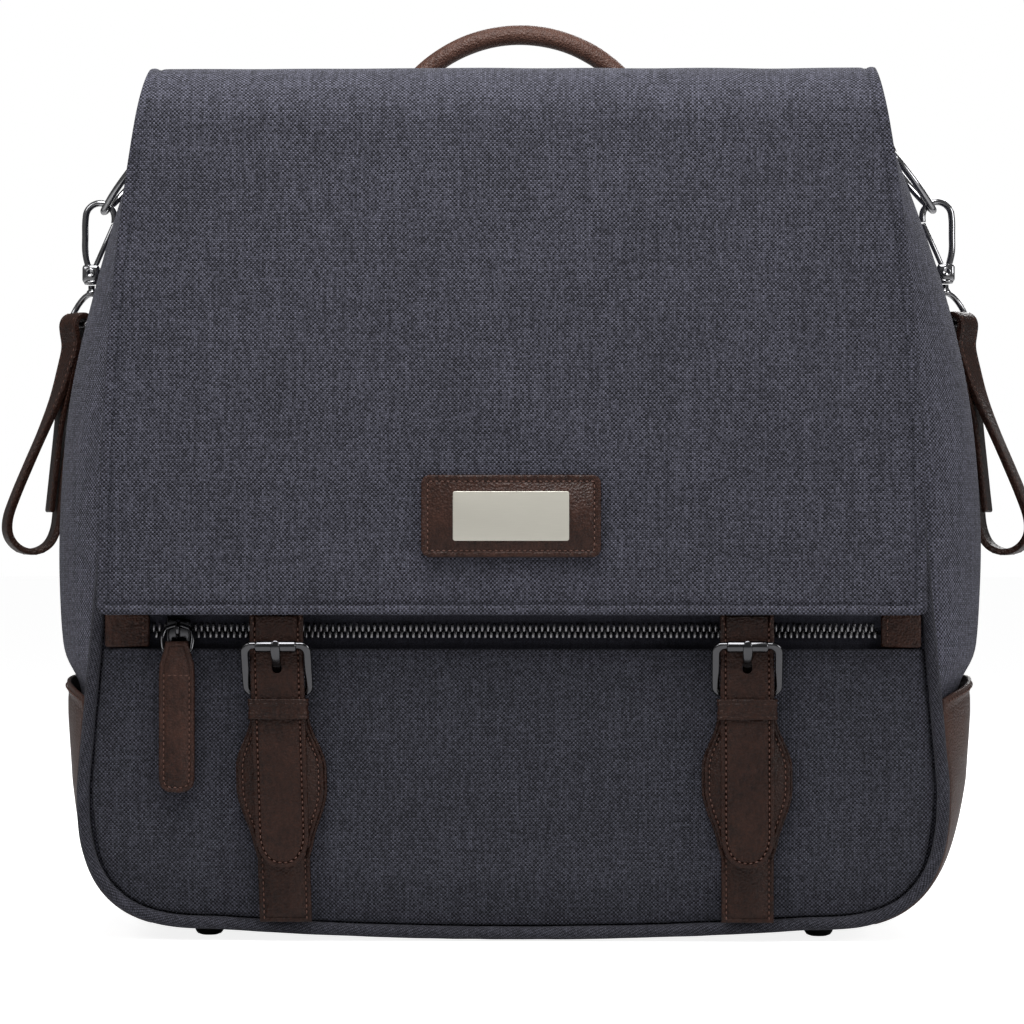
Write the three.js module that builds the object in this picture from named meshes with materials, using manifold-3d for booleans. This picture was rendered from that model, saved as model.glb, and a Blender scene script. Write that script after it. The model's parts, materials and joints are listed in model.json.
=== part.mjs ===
// A flap-over diaper bag of woven cloth with leather trim, standing on four feet.
// Millimetres, +Z up, front towards -Y, origin on the floor under the middle of the bag.
import * as THREE from "three";
import { mergeVertices } from "three/addons/utils/BufferGeometryUtils.js";
import Module from "manifold-3d";

const wasm = await Module();
wasm.setup();

// ---------- driving dimensions ----------
const wall = 2.6; // cloth and foam thickness of a side wall
const gap = 0.3; // clearance left between pieces that touch
const frontY = -64; // outer face of the front panel
const backY = 80; // outer face of the back panel
const panelThick = 3;
const mouthZ = 337; // top of the walls, where the mouth begins
const panelSide = { waistZ: 62, waistHalf: 175, highZ: 340, highHalf: 150 };
const corner = { x: 119, z: 62, a: 56, b: 57, power: 2.85 }; // rounded bottom corner
const baseSag = 4; // how far the bottom edge hangs below the corners
const bulge = { most: 29, below: 40, span: 375, power: 1.485, depthPower: 0.8 };
const pipingR = 2.6;
const padInset = 6; // how far the front pads stay inside the panel's outline
const pocketFace = -71; // outer face of the front pocket
const yokeFace = -78; // outer face of the padded yoke under the flap
const pocketTopZ = 118.3;
const flap = {
  topZ: 351,
  rollR: 24,
  thick: 3.5,
  faceY: -86,
  hemZ: 134,
  backY: 78,
  topHalf: 145.6,
  hemHalf: 165,
};
const rollZ = flap.topZ - flap.rollR; // where the flap's roll ends and its front begins
const sidePocketZ = 104; // rim of the leather side pockets
const sidePocketRoom = 9.5; // how far the side wall is set in behind a side pocket
const pocketHem = 2.1; // how far it is set in just above the pocket's rim
const strap = { x: 93.6, half: 10.7, front: -82.2, back: -79.6, topZ: 133.2, tipZ: 31.6 };
const leaf = { front: -79.3, back: -77, topZ: 97.2, endZ: 37, wideZ: 68, wideHalf: 17.8, neckHalf: 10.5 };
const lowStrap = { front: -73.6, back: -71.3, topZ: 92, endZ: 8.6, half: 10.3 };
const prongBar = { y: -77.6, z: 100 };
const rollerBar = { y: -85, z: 118.8 };
const zip = { z: 124.6, high: 6.4, leftX: -145, rightX: 147, front: -68.4, back: -66.3 };
const slider = { x: -133.8, long: 10, front: -71.2 };
const pullerPin = { y: -72.6, z: 125.6 };
const handleArch = { r: 62, z: 319.5, y: 85.3, tube: 4.2, fromDeg: 12 };
const footX = 124;
const clipY = 38; // depth at which the side rings and clips hang
const ringPin = { x: 158, z: 324.4 };
const ringFoot = { x: 172.5, z: 300.8 };
const hook = { x: 174, z: 298.2, r: 6.2, wire: 1.35, baseX: 177.6, baseLow: 269.5, baseHigh: 277.5 };
const loopTurn = THREE.MathUtils.degToRad(12); // how far each hand loop is turned on its swivel
const loopBar = { p: 7, z: 252 };

// ---------- materials ----------
const look = (color, roughness, metalness = 0) =>
  new THREE.MeshStandardMaterial({ color, roughness, metalness });
const cloth = look(0x3f3f4a, 0.9);
const liningCloth = look(0x6d6a66, 0.85);
const leather = look(0x35271f, 0.55);
const gunmetal = look(0x3b3c40, 0.25, 1);
const nickel = look(0xb8b6a9, 0.35, 1);
const board = look(0x2a2a2a, 0.8);

const bag = new THREE.Group();
const add = (name, geometry, material, parent = bag) => {
  const mesh = new THREE.Mesh(geometry, material);
  mesh.name = name;
  parent.add(mesh);
  return mesh;
};

// ---------- geometry helpers ----------
// Turns a closed geometry's faces outwards if they point in.
function outward(geometry) {
  const g = geometry.index ? geometry : mergeVertices(geometry);
  const p = g.attributes.position;
  const [a, b, c] = [new THREE.Vector3(), new THREE.Vector3(), new THREE.Vector3()];
  let volume = 0;
  for (let i = 0; i < g.index.count; i += 3) {
    a.fromBufferAttribute(p, g.index.getX(i));
    b.fromBufferAttribute(p, g.index.getX(i + 1));
    c.fromBufferAttribute(p, g.index.getX(i + 2));
    volume += a.dot(b.cross(c));
  }
  if (volume < 0)
    for (let i = 0; i < g.index.count; i += 3) {
      const first = g.index.getX(i);
      g.index.setX(i, g.index.getX(i + 2));
      g.index.setX(i + 2, first);
    }
  return g;
}

// A block of unit size, bent by map(u, v, w), each of u, v and w running from 0 to 1.
function bend(nu, nv, nw, map) {
  const g = new THREE.BoxGeometry(1, 1, 1, nu, nv, nw);
  const p = g.attributes.position;
  for (let i = 0; i < p.count; i++) {
    const [u, v, w] = [p.getX(i) + 0.5, p.getY(i) + 0.5, p.getZ(i) + 0.5];
    p.setXYZ(i, ...map(u, v, w));
  }
  return outward(g);
}

const flatPoints = (pairs) => pairs.map((pair) => new THREE.Vector2(...pair));

// An outline in X and Z made solid between two depths.
function slab(outline, y0, y1, holes = []) {
  const points = flatPoints(outline);
  const shape = new THREE.Shape(THREE.ShapeUtils.isClockWise(points) ? points.reverse() : points);
  for (const hole of holes) shape.holes.push(new THREE.Path(flatPoints(hole)));
  const g = new THREE.ExtrudeGeometry(shape, { depth: Math.abs(y1 - y0), bevelEnabled: false });
  return g.rotateX(Math.PI / 2).translate(0, Math.max(y0, y1), 0);
}

// A section in Y and Z made solid along X.
function rail(section, x0, x1) {
  const shape = new THREE.Shape(flatPoints(section));
  const g = new THREE.ExtrudeGeometry(shape, { depth: x1 - x0, bevelEnabled: false });
  return g.rotateX(Math.PI / 2).rotateZ(Math.PI / 2).translate(x0, 0, 0);
}

// A right-hand edge and its mirror image, as one closed outline.
const mirrored = (right) => [...right, ...right.map(([x, z]) => [-x, z]).reverse()];

function block(x0, x1, y0, y1, z0, z1) {
  const box = new THREE.BoxGeometry(x1 - x0, y1 - y0, z1 - z0);
  return box.translate((x0 + x1) / 2, (y0 + y1) / 2, (z0 + z1) / 2);
}

// A round tube along a smooth curve through points.
function tube(points, r, steps, sides = 8) {
  const places = points.map((q) => new THREE.Vector3(...q));
  const path = new THREE.CatmullRomCurve3(places, false, "centripetal");
  const round = new THREE.Shape();
  for (let i = 0; i < sides; i++) {
    const t = (2 * Math.PI * i) / sides;
    round[i ? "lineTo" : "moveTo"](r * Math.cos(t), r * Math.sin(t));
  }
  return new THREE.ExtrudeGeometry(round, { steps, extrudePath: path, bevelEnabled: false });
}

// A round bar between two points.
function rod(from, to, r, sides = 10) {
  const [a, b] = [new THREE.Vector3(...from), new THREE.Vector3(...to)];
  const along = b.clone().sub(a);
  const up = new THREE.Vector3(0, 1, 0);
  const turn = new THREE.Quaternion().setFromUnitVectors(up, along.clone().normalize());
  const middle = a.add(b).divideScalar(2);
  const bar = new THREE.CylinderGeometry(r, r, along.length(), sides);
  return bar.applyQuaternion(turn).translate(...middle.toArray());
}

// A closed geometry as a solid that can be joined and cut.
function toSolid(geometry) {
  const g = geometry.index ? geometry.clone() : new THREE.BufferGeometry().copy(geometry);
  g.deleteAttribute("normal");
  g.deleteAttribute("uv");
  const merged = outward(mergeVertices(g, 1e-3));
  const vertProperties = merged.attributes.position.array;
  const triVerts = new Uint32Array(merged.index.array);
  return new wasm.Manifold(new wasm.Mesh({ numProp: 3, vertProperties, triVerts }));
}

function fromSolid(solid) {
  const m = solid.getMesh();
  const g = new THREE.BufferGeometry();
  const places = new Float32Array(m.numVert * 3);
  for (let i = 0; i < m.numVert; i++)
    places.set(m.vertProperties.subarray(i * m.numProp, i * m.numProp + 3), i * 3);
  g.setAttribute("position", new THREE.BufferAttribute(places, 3));
  g.setIndex(new THREE.BufferAttribute(new Uint32Array(m.triVerts), 1));
  g.computeVertexNormals();
  return g;
}

// A profile turned full circle about Y, as one closed body.
function turnedShape(profile, steps) {
  const g = new THREE.LatheGeometry(profile, steps);
  g.deleteAttribute("normal");
  g.deleteAttribute("uv");
  return outward(mergeVertices(g));
}

const join = (...geometries) => fromSolid(geometries.map(toSolid).reduce((a, b) => a.add(b)));
const cut = (body, ...tools) => fromSolid(tools.map(toSolid).reduce((a, b) => a.subtract(b), toSolid(body)));

// ---------- the bag's form ----------
const mix = (a, b, t) => a + (b - a) * t;
const smooth = (from, to, v) => {
  const t = Math.min(1, Math.max(0, (v - from) / (to - from)));
  return t * t * (3 - 2 * t);
};

// Half the width of the front and back panels at height z.
function panelHalf(z) {
  if (z >= panelSide.waistZ) {
    const t = (z - panelSide.waistZ) / (panelSide.highZ - panelSide.waistZ);
    return mix(panelSide.waistHalf, panelSide.highHalf, t);
  }
  const k = Math.min(1, (corner.z - z) / corner.b);
  return corner.x + corner.a * Math.pow(1 - Math.pow(k, corner.power), 1 / corner.power);
}

// How far the side stands out beyond the panels at height z and depth y.
function sideBulge(z, y) {
  const up = Math.min(1, Math.max(0, (z + bulge.below) / bulge.span));
  const back = Math.min(1, Math.max(0, (y - frontY) / (backY - frontY)));
  const upright = Math.sin(Math.PI * Math.pow(up, bulge.power));
  return bulge.most * upright * Math.sin(Math.PI * Math.pow(back, bulge.depthPower));
}

// The panel's right-hand edge from the top down to under the corner, inset by d, at u from 0 to 1.
function edgeAt(u, d, topZ, underDeg = 72) {
  const straight = 0.62; // share of u that runs down to the waist
  if (u <= straight) {
    const z = mix(topZ, panelSide.waistZ, u / straight);
    return [panelHalf(z) - d, z];
  }
  const t = THREE.MathUtils.degToRad(underDeg) * ((u - straight) / (1 - straight));
  const e = 2 / corner.power;
  return [corner.x + (corner.a - d) * Math.cos(t) ** e, corner.z - (corner.b - d) * Math.sin(t) ** e];
}

// Height of the bag's underside at x, sagging between the corners and curving up past them.
function bottomZ(x) {
  const past = Math.max(0, Math.abs(x) - corner.x) / corner.a;
  const drop = corner.b * Math.pow(1 - Math.pow(past, corner.power), 1 / corner.power);
  return corner.z - drop - baseSag * Math.max(0, 1 - (x / corner.x) ** 2);
}

// The panel's outline from topZ down round the sagging bottom, inset by d.
function panelOutline(d, topZ) {
  const cornerSteps = 9;
  const right = [[panelHalf(topZ) - d, topZ]];
  for (let i = 0; i <= cornerSteps; i++) {
    const t = (Math.PI / 2) * (i / cornerSteps);
    const e = 2 / corner.power;
    right.push([corner.x + (corner.a - d) * Math.cos(t) ** e, corner.z - (corner.b - d) * Math.sin(t) ** e]);
  }
  for (const x of [80, 40]) right.push([x, bottomZ(x) + d]);
  return [...right, [0, bottomZ(0) + d], ...right.map(([x, z]) => [-x, z]).reverse()];
}

// A solid that fills the bag between its side walls, standing off them by off, its top raised by lift.
function filled(off, lift) {
  return bend(4, 6, sideSteps, (u, v, w) => {
    const [, zHere] = edgeAt(1 - w, 0, mouthZ);
    const [x, z] = edgeAt(1 - w, behindPocket(zHere) + wall + off, mouthZ);
    const y = mix(inFront + off, inBack - off, v);
    return [(2 * u - 1) * (x + sideBulge(z, y)), y, z + (w === 1 ? lift : 0)];
  });
}

// How far the cloth side wall is set in behind the leather side pocket.
function behindPocket(z) {
  const atRim = smooth(sidePocketZ + 8, sidePocketZ, z);
  const belowRim = smooth(sidePocketZ + 12, sidePocketZ - 6, z);
  const aboveBase = smooth(18, 44, z);
  return pocketHem * atRim + sidePocketRoom * belowRim * aboveBase;
}

// ---------- body panels ----------
const inFront = frontY + panelThick + gap;
const inBack = backY - panelThick - gap;
const sideSteps = 26;

function bodyPanels() {
  add("front_panel", slab(panelOutline(1.2, mouthZ), frontY, frontY + panelThick), cloth);
  add("back_panel", slab(panelOutline(1.2, mouthZ + 7), backY - panelThick, backY), cloth);
  for (const [side, s] of [["left", -1], ["right", 1]]) {
    const wallMap = (u, v, w) => {
      const [, zHere] = edgeAt(u, 0, mouthZ);
      const [x, z] = edgeAt(u, behindPocket(zHere) + wall * w, mouthZ);
      const y = mix(inFront, inBack, v);
      return [s * (x + sideBulge(z, y)), y, z];
    };
    add("gusset_" + side, bend(sideSteps, 6, 1, wallMap), cloth);
    const pocketMap = (u, v, w) => {
      const [x, z] = edgeAt(u, mix(-1.2, 0.8, w), sidePocketZ);
      const y = mix(frontY + 0.1, backY - 0.1, v);
      return [s * (x + sideBulge(z, y)), y, z];
    };
    add("side_pocket_" + side, bend(14, 6, 1, pocketMap), leather);
  }
  const baseHalf = 141.2;
  const baseMap = (u, v, w) => {
    const x = mix(-baseHalf, baseHalf, u);
    return [x, mix(inFront, inBack, v), bottomZ(x) + 2.4 * w];
  };
  add("base_panel", bend(12, 1, 1, baseMap), leather);
  add("base_board", block(-120, 120, inFront + 5, inBack - 5, 8, 11), board);
  add("lining", cut(filled(1.8, -gap), filled(3.1, 5)), liningCloth);
}

// ---------- padded fronts, piping and mouth ----------
function frontPads() {
  add("pocket_panel", slab(panelOutline(padInset, pocketTopZ), pocketFace, frontY - gap), cloth);
  const [low, high] = [137, 326];
  const yoke = [
    [panelHalf(low) - padInset, low],
    [panelHalf(high) - padInset, high],
    [-(panelHalf(high) - padInset), high],
    [-(panelHalf(low) - padInset), low],
  ];
  add("yoke_panel", slab(yoke, yokeFace, frontY - gap), cloth);
}

function piping(name, y, topZ) {
  const line = panelOutline(pipingR, topZ).map(([x, z]) => [x, y, z]);
  const midZ = 200; // one more point halfway up each side keeps the sides straight
  const half = panelHalf(midZ) - pipingR;
  line.splice(1, 0, [half, y, midZ]);
  line.splice(line.length - 1, 0, [-half, y, midZ]);
  add(name, tube(line, pipingR, 48, 6), cloth);
}

function mouthFacings() {
  const half = 144.5;
  const [low, high] = [mouthZ + 0.4, mouthZ + 3];
  const turn = 17;
  const tape = 11;
  const front = [
    [frontY + 0.1, low],
    [frontY + 0.1, high],
    [frontY + turn + 2, high],
    [frontY + turn + 2, low - tape],
    [frontY + turn, low - tape],
    [frontY + turn, low],
  ];
  add("mouth_facing_front", rail(front, -half, half), cloth);
  const middle = (frontY + backY) / 2;
  const back = front.map(([y, z]) => [2 * middle - y - 3.1, z]);
  add("mouth_facing_back", rail(back, -half, half), cloth);
}

// ---------- front pocket zip ----------
function pocketZip() {
  const half = zip.high / 2;
  const teeth = block(zip.leftX, zip.rightX, zip.front, zip.back, zip.z - half, zip.z + half);
  add("pocket_zip_teeth", teeth, gunmetal);
  const tab = (x0, x1) => block(x0, x1, zip.front - 1.2, zip.back, zip.z - 5.8, zip.z + 6);
  const tabEnd = 162.8;
  add("zip_end_tab_left", tab(-tabEnd, zip.leftX - gap), leather);
  add("zip_end_tab_right", tab(zip.rightX + gap, tabEnd), leather);

  const wrap = [
    [slider.front, zip.z - 5],
    [slider.front, zip.z + 5],
    [zip.back - gap, zip.z + 5],
    [zip.back - gap, zip.z + 3.6],
    [zip.front - gap - 0.2, zip.z + 3.6],
    [zip.front - gap - 0.2, zip.z - 3.6],
    [zip.back - gap, zip.z - 3.6],
    [zip.back - gap, zip.z - 5],
  ];
  const body = rail(wrap, slider.x - slider.long / 2, slider.x + slider.long / 2);
  const bail = rail(
    [
      [slider.front + 0.2, 121.6],
      [slider.front - 3, 122.6],
      [slider.front - 3.6, 125.6],
      [slider.front - 3, 128.4],
      [slider.front + 0.2, 129.2],
      [slider.front + 0.2, 127.4],
      [slider.front - 2.3, 127.2],
      [slider.front - 2.6, 125.6],
      [slider.front - 2.3, 123.7],
      [slider.front + 0.2, 123.4],
    ],
    slider.x - 1.5,
    slider.x + 1.5,
  );
  add("pocket_zip_slider", join(body, bail), gunmetal);

  const link = 0.8;
  const [topHalf, lowHalf] = [4.6, 5];
  const lowZ = 116.6;
  const lowY = -76;
  const cornersOfLink = [
    [slider.x - topHalf, pullerPin.y, pullerPin.z],
    [slider.x + topHalf, pullerPin.y, pullerPin.z],
    [slider.x + lowHalf, lowY, lowZ],
    [slider.x - lowHalf, lowY, lowZ],
  ];
  const sidesOfLink = cornersOfLink.map((c, i) => rod(c, cornersOfLink[(i + 1) % 4], link, 8));
  const knuckles = cornersOfLink.map((c) => new THREE.SphereGeometry(link * 1.02, 8, 6).translate(...c));
  add("pocket_puller_link", join(...sidesOfLink, ...knuckles), gunmetal);

  const [half1, half2, high, low] = [5.9, 7, 120, 62.3];
  const tongue = [[-half1, high], [-half2, high - 9]];
  for (let i = 0; i <= 8; i++) {
    const t = Math.PI * (i / 8);
    tongue.push([-half2 * Math.cos(t), low + half2 - half2 * Math.sin(t)]);
  }
  tongue.push([half2, high - 9], [half1, high]);
  const leatherTab = slab(tongue.map(([x, z]) => [x + slider.x, z]), lowY - 1.6, lowY + 1.6);
  const notch = block(slider.x - 8, slider.x + 8, lowY - 1.1, lowY + 3, lowZ - 1.1, high + 1);
  add("pocket_puller", cut(leatherTab, notch), leather);
}

// ---------- flap ----------
// Half the flap's width at height z, narrowing towards its top.
function flapHalf(z) {
  const straightZ = 100;
  const up = Math.max(0, (z - straightZ) / (flap.topZ - straightZ));
  return flap.hemHalf - (flap.hemHalf - flap.topHalf) * Math.pow(up, 2.6);
}

function flapParts() {
  const flat = 0.25; // share of the steps that lie on the flat top
  const rollY = flap.faceY + flap.rollR;
  const topMap = (u, v, w) => {
    const r = flap.rollR - flap.thick * w;
    let [y, z, half] = [mix(flap.backY, rollY, v / flat), rollZ + r, flap.topHalf];
    if (v > flat) {
      const t = (Math.PI / 2) * ((v - flat) / (1 - flat));
      y = rollY - r * Math.sin(t);
      z = rollZ + r * Math.cos(t);
      half = flapHalf(rollZ + flap.rollR * Math.cos(t));
    }
    return [(2 * u - 1) * half, y, z];
  };
  add("flap_top", bend(2, 8, 1, topMap), cloth);
  const frontMap = (u, v, w) => {
    const z = mix(rollZ - gap, flap.hemZ, v);
    return [(2 * u - 1) * flapHalf(z), flap.faceY + flap.thick * w, z];
  };
  add("flap_front", bend(2, 10, 1, frontMap), cloth);

  const patch = { half: 35.4, high: 16, z: 173.6, thick: 3 };
  const plate = { half: 23, high: 9.8, thick: 1.2 };
  const patchFace = flap.faceY - gap - patch.thick;
  const upright = (half, high, y0, y1) => block(-half, half, y0, y1, patch.z - high, patch.z + high);
  add("name_patch", upright(patch.half, patch.high, patchFace, flap.faceY - gap), leather);
  const plateBack = patchFace - gap;
  add("name_plate", upright(plate.half, plate.high, plateBack - plate.thick, plateBack), nickel);
}

// ---------- closure straps with their buckles ----------
// The leaf's half width at height z, swelling between its two necks.
function leafHalf(z, more) {
  const above = smooth(leaf.topZ - 8, leaf.wideZ, z);
  const below = smooth(leaf.endZ, leaf.wideZ - 4, z);
  return mix(leaf.neckHalf, leaf.wideHalf, Math.min(above, below)) + more;
}

function leafEdge(topZ, endZ, more) {
  const edge = [];
  for (let i = 0; i <= 14; i++) {
    const z = mix(topZ, endZ, i / 14);
    edge.push([leafHalf(z, more), z]);
  }
  return edge;
}

// The four corners of a rectangle in X and Y, centred on X.
const frameCorners = (half, y0, y1) => flatPoints([[-half, y0], [half, y0], [half, y1], [-half, y1]]);

function closure(side, x) {
  const put = (name, geometry, material) => add(name + "_" + side, geometry.translate(x, 0, 0), material);

  const tipHigh = 11;
  const tail = [[strap.half, strap.topZ], [-strap.half, strap.topZ]];
  for (let i = 0; i <= 10; i++) {
    const t = Math.PI * (i / 10);
    tail.push([-strap.half * Math.cos(t), strap.tipZ + tipHigh * (1 - Math.sin(t))]);
  }
  const slot = [[-2.2, 97.3], [2.2, 97.3], [2.2, 110], [-2.2, 110]];
  put("closure_strap", slab(tail, strap.front, strap.back, [slot]), leather);
  put("leaf_tab", slab(mirrored(leafEdge(leaf.topZ, leaf.endZ, 0)), leaf.front, leaf.back), leather);

  const lower = [...leafEdge(lowStrap.topZ, leaf.endZ + 1, 1), [lowStrap.half, lowStrap.endZ]];
  put("lower_strap", slab(mirrored(lower), lowStrap.front, lowStrap.back), leather);

  const studZ = 66;
  put("snap_stud", rod([0, leaf.back + gap, studZ], [0, lowStrap.front - 0.4, studZ], 7, 16), nickel);

  const band = new THREE.Shape(frameCorners(12.3, -84.2, -74.9));
  band.holes.push(new THREE.Path(frameCorners(11.1, -82.6, -76.6)));
  const keeper = new THREE.ExtrudeGeometry(band, { depth: 7.6, bevelEnabled: false });
  put("strap_keeper", keeper.translate(0, 0, 90), leather);

  const rise = Math.hypot(rollerBar.y - prongBar.y, rollerBar.z - prongBar.z);
  const lean = Math.atan2(prongBar.y - rollerBar.y, rollerBar.z - prongBar.z);
  // Half of the frame, up its outside from the prong's bar and back down its inside.
  const half = [
    [11.5, -0.9],
    [13.4, 2],
    [14.3, 9],
    [14.3, rise - 2.4],
    [13.4, rise + 0.8],
    [11.2, rise + 2],
    [8.6, rise + 2],
    [8.6, rise - 2],
    [9.9, rise - 2.1],
    [11.1, rise - 3.4],
    [11.1, 0.9],
  ];
  const frame = slab(mirrored(half), -1.1, 1.1);
  const bar = rod([-9.4, 0, rise], [9.4, 0, rise], 1.1, 10);
  put("buckle_frame", join(frame, bar).rotateX(lean).translate(0, prongBar.y, prongBar.z), gunmetal);

  const sleeve = flatPoints([[1.4, -8.1], [2.3, -8.1], [2.3, 8.1], [1.4, 8.1], [1.4, -8.1]]);
  const roller = turnedShape(sleeve, 14);
  put("buckle_roller", roller.rotateZ(Math.PI / 2).translate(0, rollerBar.y, rollerBar.z), gunmetal);

  const prongFrom = [-79, 100.9];
  const prongTo = [-89.6, 120];
  const length = Math.hypot(prongTo[0] - prongFrom[0], prongTo[1] - prongFrom[1]);
  const prongLean = Math.atan2(prongFrom[0] - prongTo[0], prongTo[1] - prongFrom[1]);
  const blade = block(-1.8, 1.8, -0.8, 0.8, 0, length).rotateX(prongLean).translate(0, ...prongFrom);
  const eye = rod([-1.8, prongBar.y, prongBar.z], [1.8, prongBar.y, prongBar.z], 2.3, 16);
  const eyeHole = rod([-3, prongBar.y, prongBar.z], [3, prongBar.y, prongBar.z], 1.6, 12);
  put("buckle_prong", cut(join(blade, eye), eyeHole), gunmetal);
}

// ---------- carrying handle and feet ----------
function handleParts() {
  const points = [];
  const steps = 14;
  for (let i = 0; i <= steps; i++) {
    const t = THREE.MathUtils.degToRad(mix(handleArch.fromDeg, 180 - handleArch.fromDeg, i / steps));
    points.push([handleArch.r * Math.cos(t), handleArch.y, handleArch.z + handleArch.r * Math.sin(t)]);
  }
  add("handle", tube(points, handleArch.tube, 24, 10), leather);
  const anchorTop = 330.8;
  for (const [side, s] of [["left", -1], ["right", 1]]) {
    const x = s * handleArch.r * Math.cos(THREE.MathUtils.degToRad(handleArch.fromDeg));
    const outline = mirrored([[11, 296], [11, anchorTop - 12], [7, anchorTop]]);
    const anchor = slab(outline, backY + gap, backY + 4.5).translate(x, 0, 0);
    add("handle_anchor_" + side, anchor, leather);
  }
}

function feet() {
  const profile = flatPoints([[0, 0], [3.6, 0], [5.6, 1.6], [6, 3.2], [6, 4.1], [0, 4.1]]);
  for (const [place, x, y] of [
    ["front_left", -footX, -42],
    ["front_right", footX, -42],
    ["back_left", -footX, 58],
    ["back_right", footX, 58],
  ]) {
    const foot = turnedShape(profile, 16).rotateX(Math.PI / 2).translate(x, y, 0);
    add("foot_" + place, foot, board);
  }
}

// ---------- rings, snap hooks and hand loops at the sides ----------
// The outer outline and the hole of a band of thickness t along a closed, clockwise line.
function bandOutlines(points, t, steps) {
  const places = points.map(([p, z]) => new THREE.Vector3(p, 0, z));
  const line = new THREE.CatmullRomCurve3(places, true, "centripetal");
  const [outer, inner] = [[], []];
  for (let i = 0; i < steps; i++) {
    const at = line.getPointAt(i / steps);
    const way = line.getTangentAt(i / steps);
    outer.push([at.x - (way.z * t) / 2, at.z + (way.x * t) / 2]);
    inner.push([at.x + (way.z * t) / 2, at.z - (way.x * t) / 2]);
  }
  return [outer, inner];
}

// A disc of radius r about (x, z), as thick as the ring's tab is wide plus a little.
function disc(x, z, r, sides, more = 0) {
  const outline = Array.from({ length: sides }, (_, i) => {
    const t = (2 * Math.PI * i) / sides;
    return [x + r * Math.cos(t), z + r * Math.sin(t)];
  });
  return slab(outline, clipY - ringTabHalf - more, clipY + ringTabHalf + more);
}

const ringTabHalf = 8;

function clip(side, s) {
  const put = (name, geometry, material) =>
    add(name + "_" + side, outward(geometry.scale(s, 1, 1)), material);

  const tongueOutline = [
    [155.3, 323.5],
    [154.8, 329],
    [152.1, 335.6],
    [154.4, 336.4],
    [158.7, 329.5],
    [161.2, 325.5],
  ];
  const tongue = slab(tongueOutline, clipY - ringTabHalf, clipY + ringTabHalf);
  const knuckle = disc(ringPin.x, ringPin.z, 3.2, 14);
  const hole = disc(ringPin.x, ringPin.z, 1.8, 12, 1);
  put("ring_tab", cut(join(tongue, knuckle), hole), leather);

  const drop = [ringFoot.x - ringPin.x, ringFoot.z - ringPin.z];
  const length = Math.hypot(...drop);
  const onRing = (a, b) => [
    ringPin.x + (drop[0] * b) / length,
    clipY + a,
    ringPin.z + (drop[1] * b) / length,
  ];
  const ringWire = 1.5;
  const half = [[11.6, 0], [13.8, 3.2], [14.2, 10], [12.4, 18], [7.6, 25]];
  const otherHalf = half.map(([a, b]) => [-a, b]).reverse();
  const arc = [...half, [0, length], ...otherHalf].map(([a, b]) => onRing(a, b));
  const bar = rod(onRing(-12, 0), onRing(12, 0), ringWire, 10);
  put("side_ring", join(tube(arc, ringWire, 26, 8), bar), gunmetal);

  const hookLine = [[hook.x - hook.r, clipY, hook.z - 1]];
  for (let i = 0; i <= 6; i++) {
    const t = Math.PI * (1 - i / 6);
    hookLine.push([hook.x + hook.r * Math.cos(t), clipY, hook.z + hook.r * Math.sin(t)]);
  }
  hookLine.push([hook.x + hook.r, clipY, 288]);
  hookLine.push([hook.x + hook.r - 0.2, clipY, hook.baseHigh - 1]);
  const wire = tube(hookLine, hook.wire, 24, 8);
  const [baseIn, baseOut] = [hook.baseX - 3.7, hook.baseX + 4];
  const base = block(baseIn, baseOut, clipY - 2.6, clipY + 2.6, hook.baseLow, hook.baseHigh);
  put("snap_hook", join(wire, base), gunmetal);
  put("hook_gate", rod([175.4, clipY, 279.2], [168.3, clipY, 294.6], 1.1, 10), gunmetal);

  // The swivel's eye and the hand loop stand in a plane turned about the swivel's upright axis.
  const turned = new THREE.Group();
  turned.position.set(s * hook.baseX, clipY, 0);
  turned.rotation.z = s > 0 ? -loopTurn : Math.PI + loopTurn;
  bag.add(turned);
  const post = rod([0, 0, 269.1], [0, 0, 264.6], 1.4, 10);
  const [wide, eyeWire] = [9.2, 1.25];
  const eyeSide = (w) => {
    const shoulder = [[0, 0, 265.4], [0.8, w * 0.55, 263.6], [3, w, 259.5], [loopBar.p, w, loopBar.z]];
    return tube(shoulder, eyeWire, 8, 8);
  };
  const barEnd = wide + 0.9;
  const eyeBar = rod([loopBar.p, -barEnd, loopBar.z], [loopBar.p, barEnd, loopBar.z], eyeWire, 10);
  add("swivel_eye_" + side, join(post, eyeSide(wide), eyeSide(-wide), eyeBar), gunmetal, turned);

  const line = [
    [9.7, 243.5], [11.6, 236], [15, 222], [21, 206], [27.5, 190], [33, 176], [36.4, 165], [36.2, 157],
    [31.5, 151.2], [25, 150], [18.7, 153.2], [15.3, 160.5], [14.4, 172], [13, 188], [10.6, 206], [8.2, 224],
    [6.5, 236], [6.1, 243.5], [3.6, 248], [3.1, 252.5], [5.2, 255.7], [8.8, 255.7], [10.9, 252.8], [10.5, 248],
  ];
  const [bandThick, bandHalf] = [2.5, 7.5];
  const [outer, inner] = bandOutlines(line, bandThick, 64);
  const band = slab(outer, -bandHalf, bandHalf, [inner]);
  const tailLine = [[9.2, 238], [10.9, 238], [14.4, 214], [18.6, 171], [16.2, 171], [12, 214]];
  add("hand_loop_" + side, join(band, slab(tailLine, -bandHalf, bandHalf)), leather, turned);
}

bodyPanels();
frontPads();
piping("front_piping", frontY - pipingR - gap, 330);
piping("back_piping", backY + pipingR + gap, 338);
mouthFacings();
pocketZip();
flapParts();
closure("left", -strap.x);
closure("right", strap.x);
handleParts();
feet();
clip("left", -1);
clip("right", 1);

export default bag;
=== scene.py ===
import json
import math
import bmesh
import bpy
from mathutils import Matrix, Vector, noise

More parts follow.
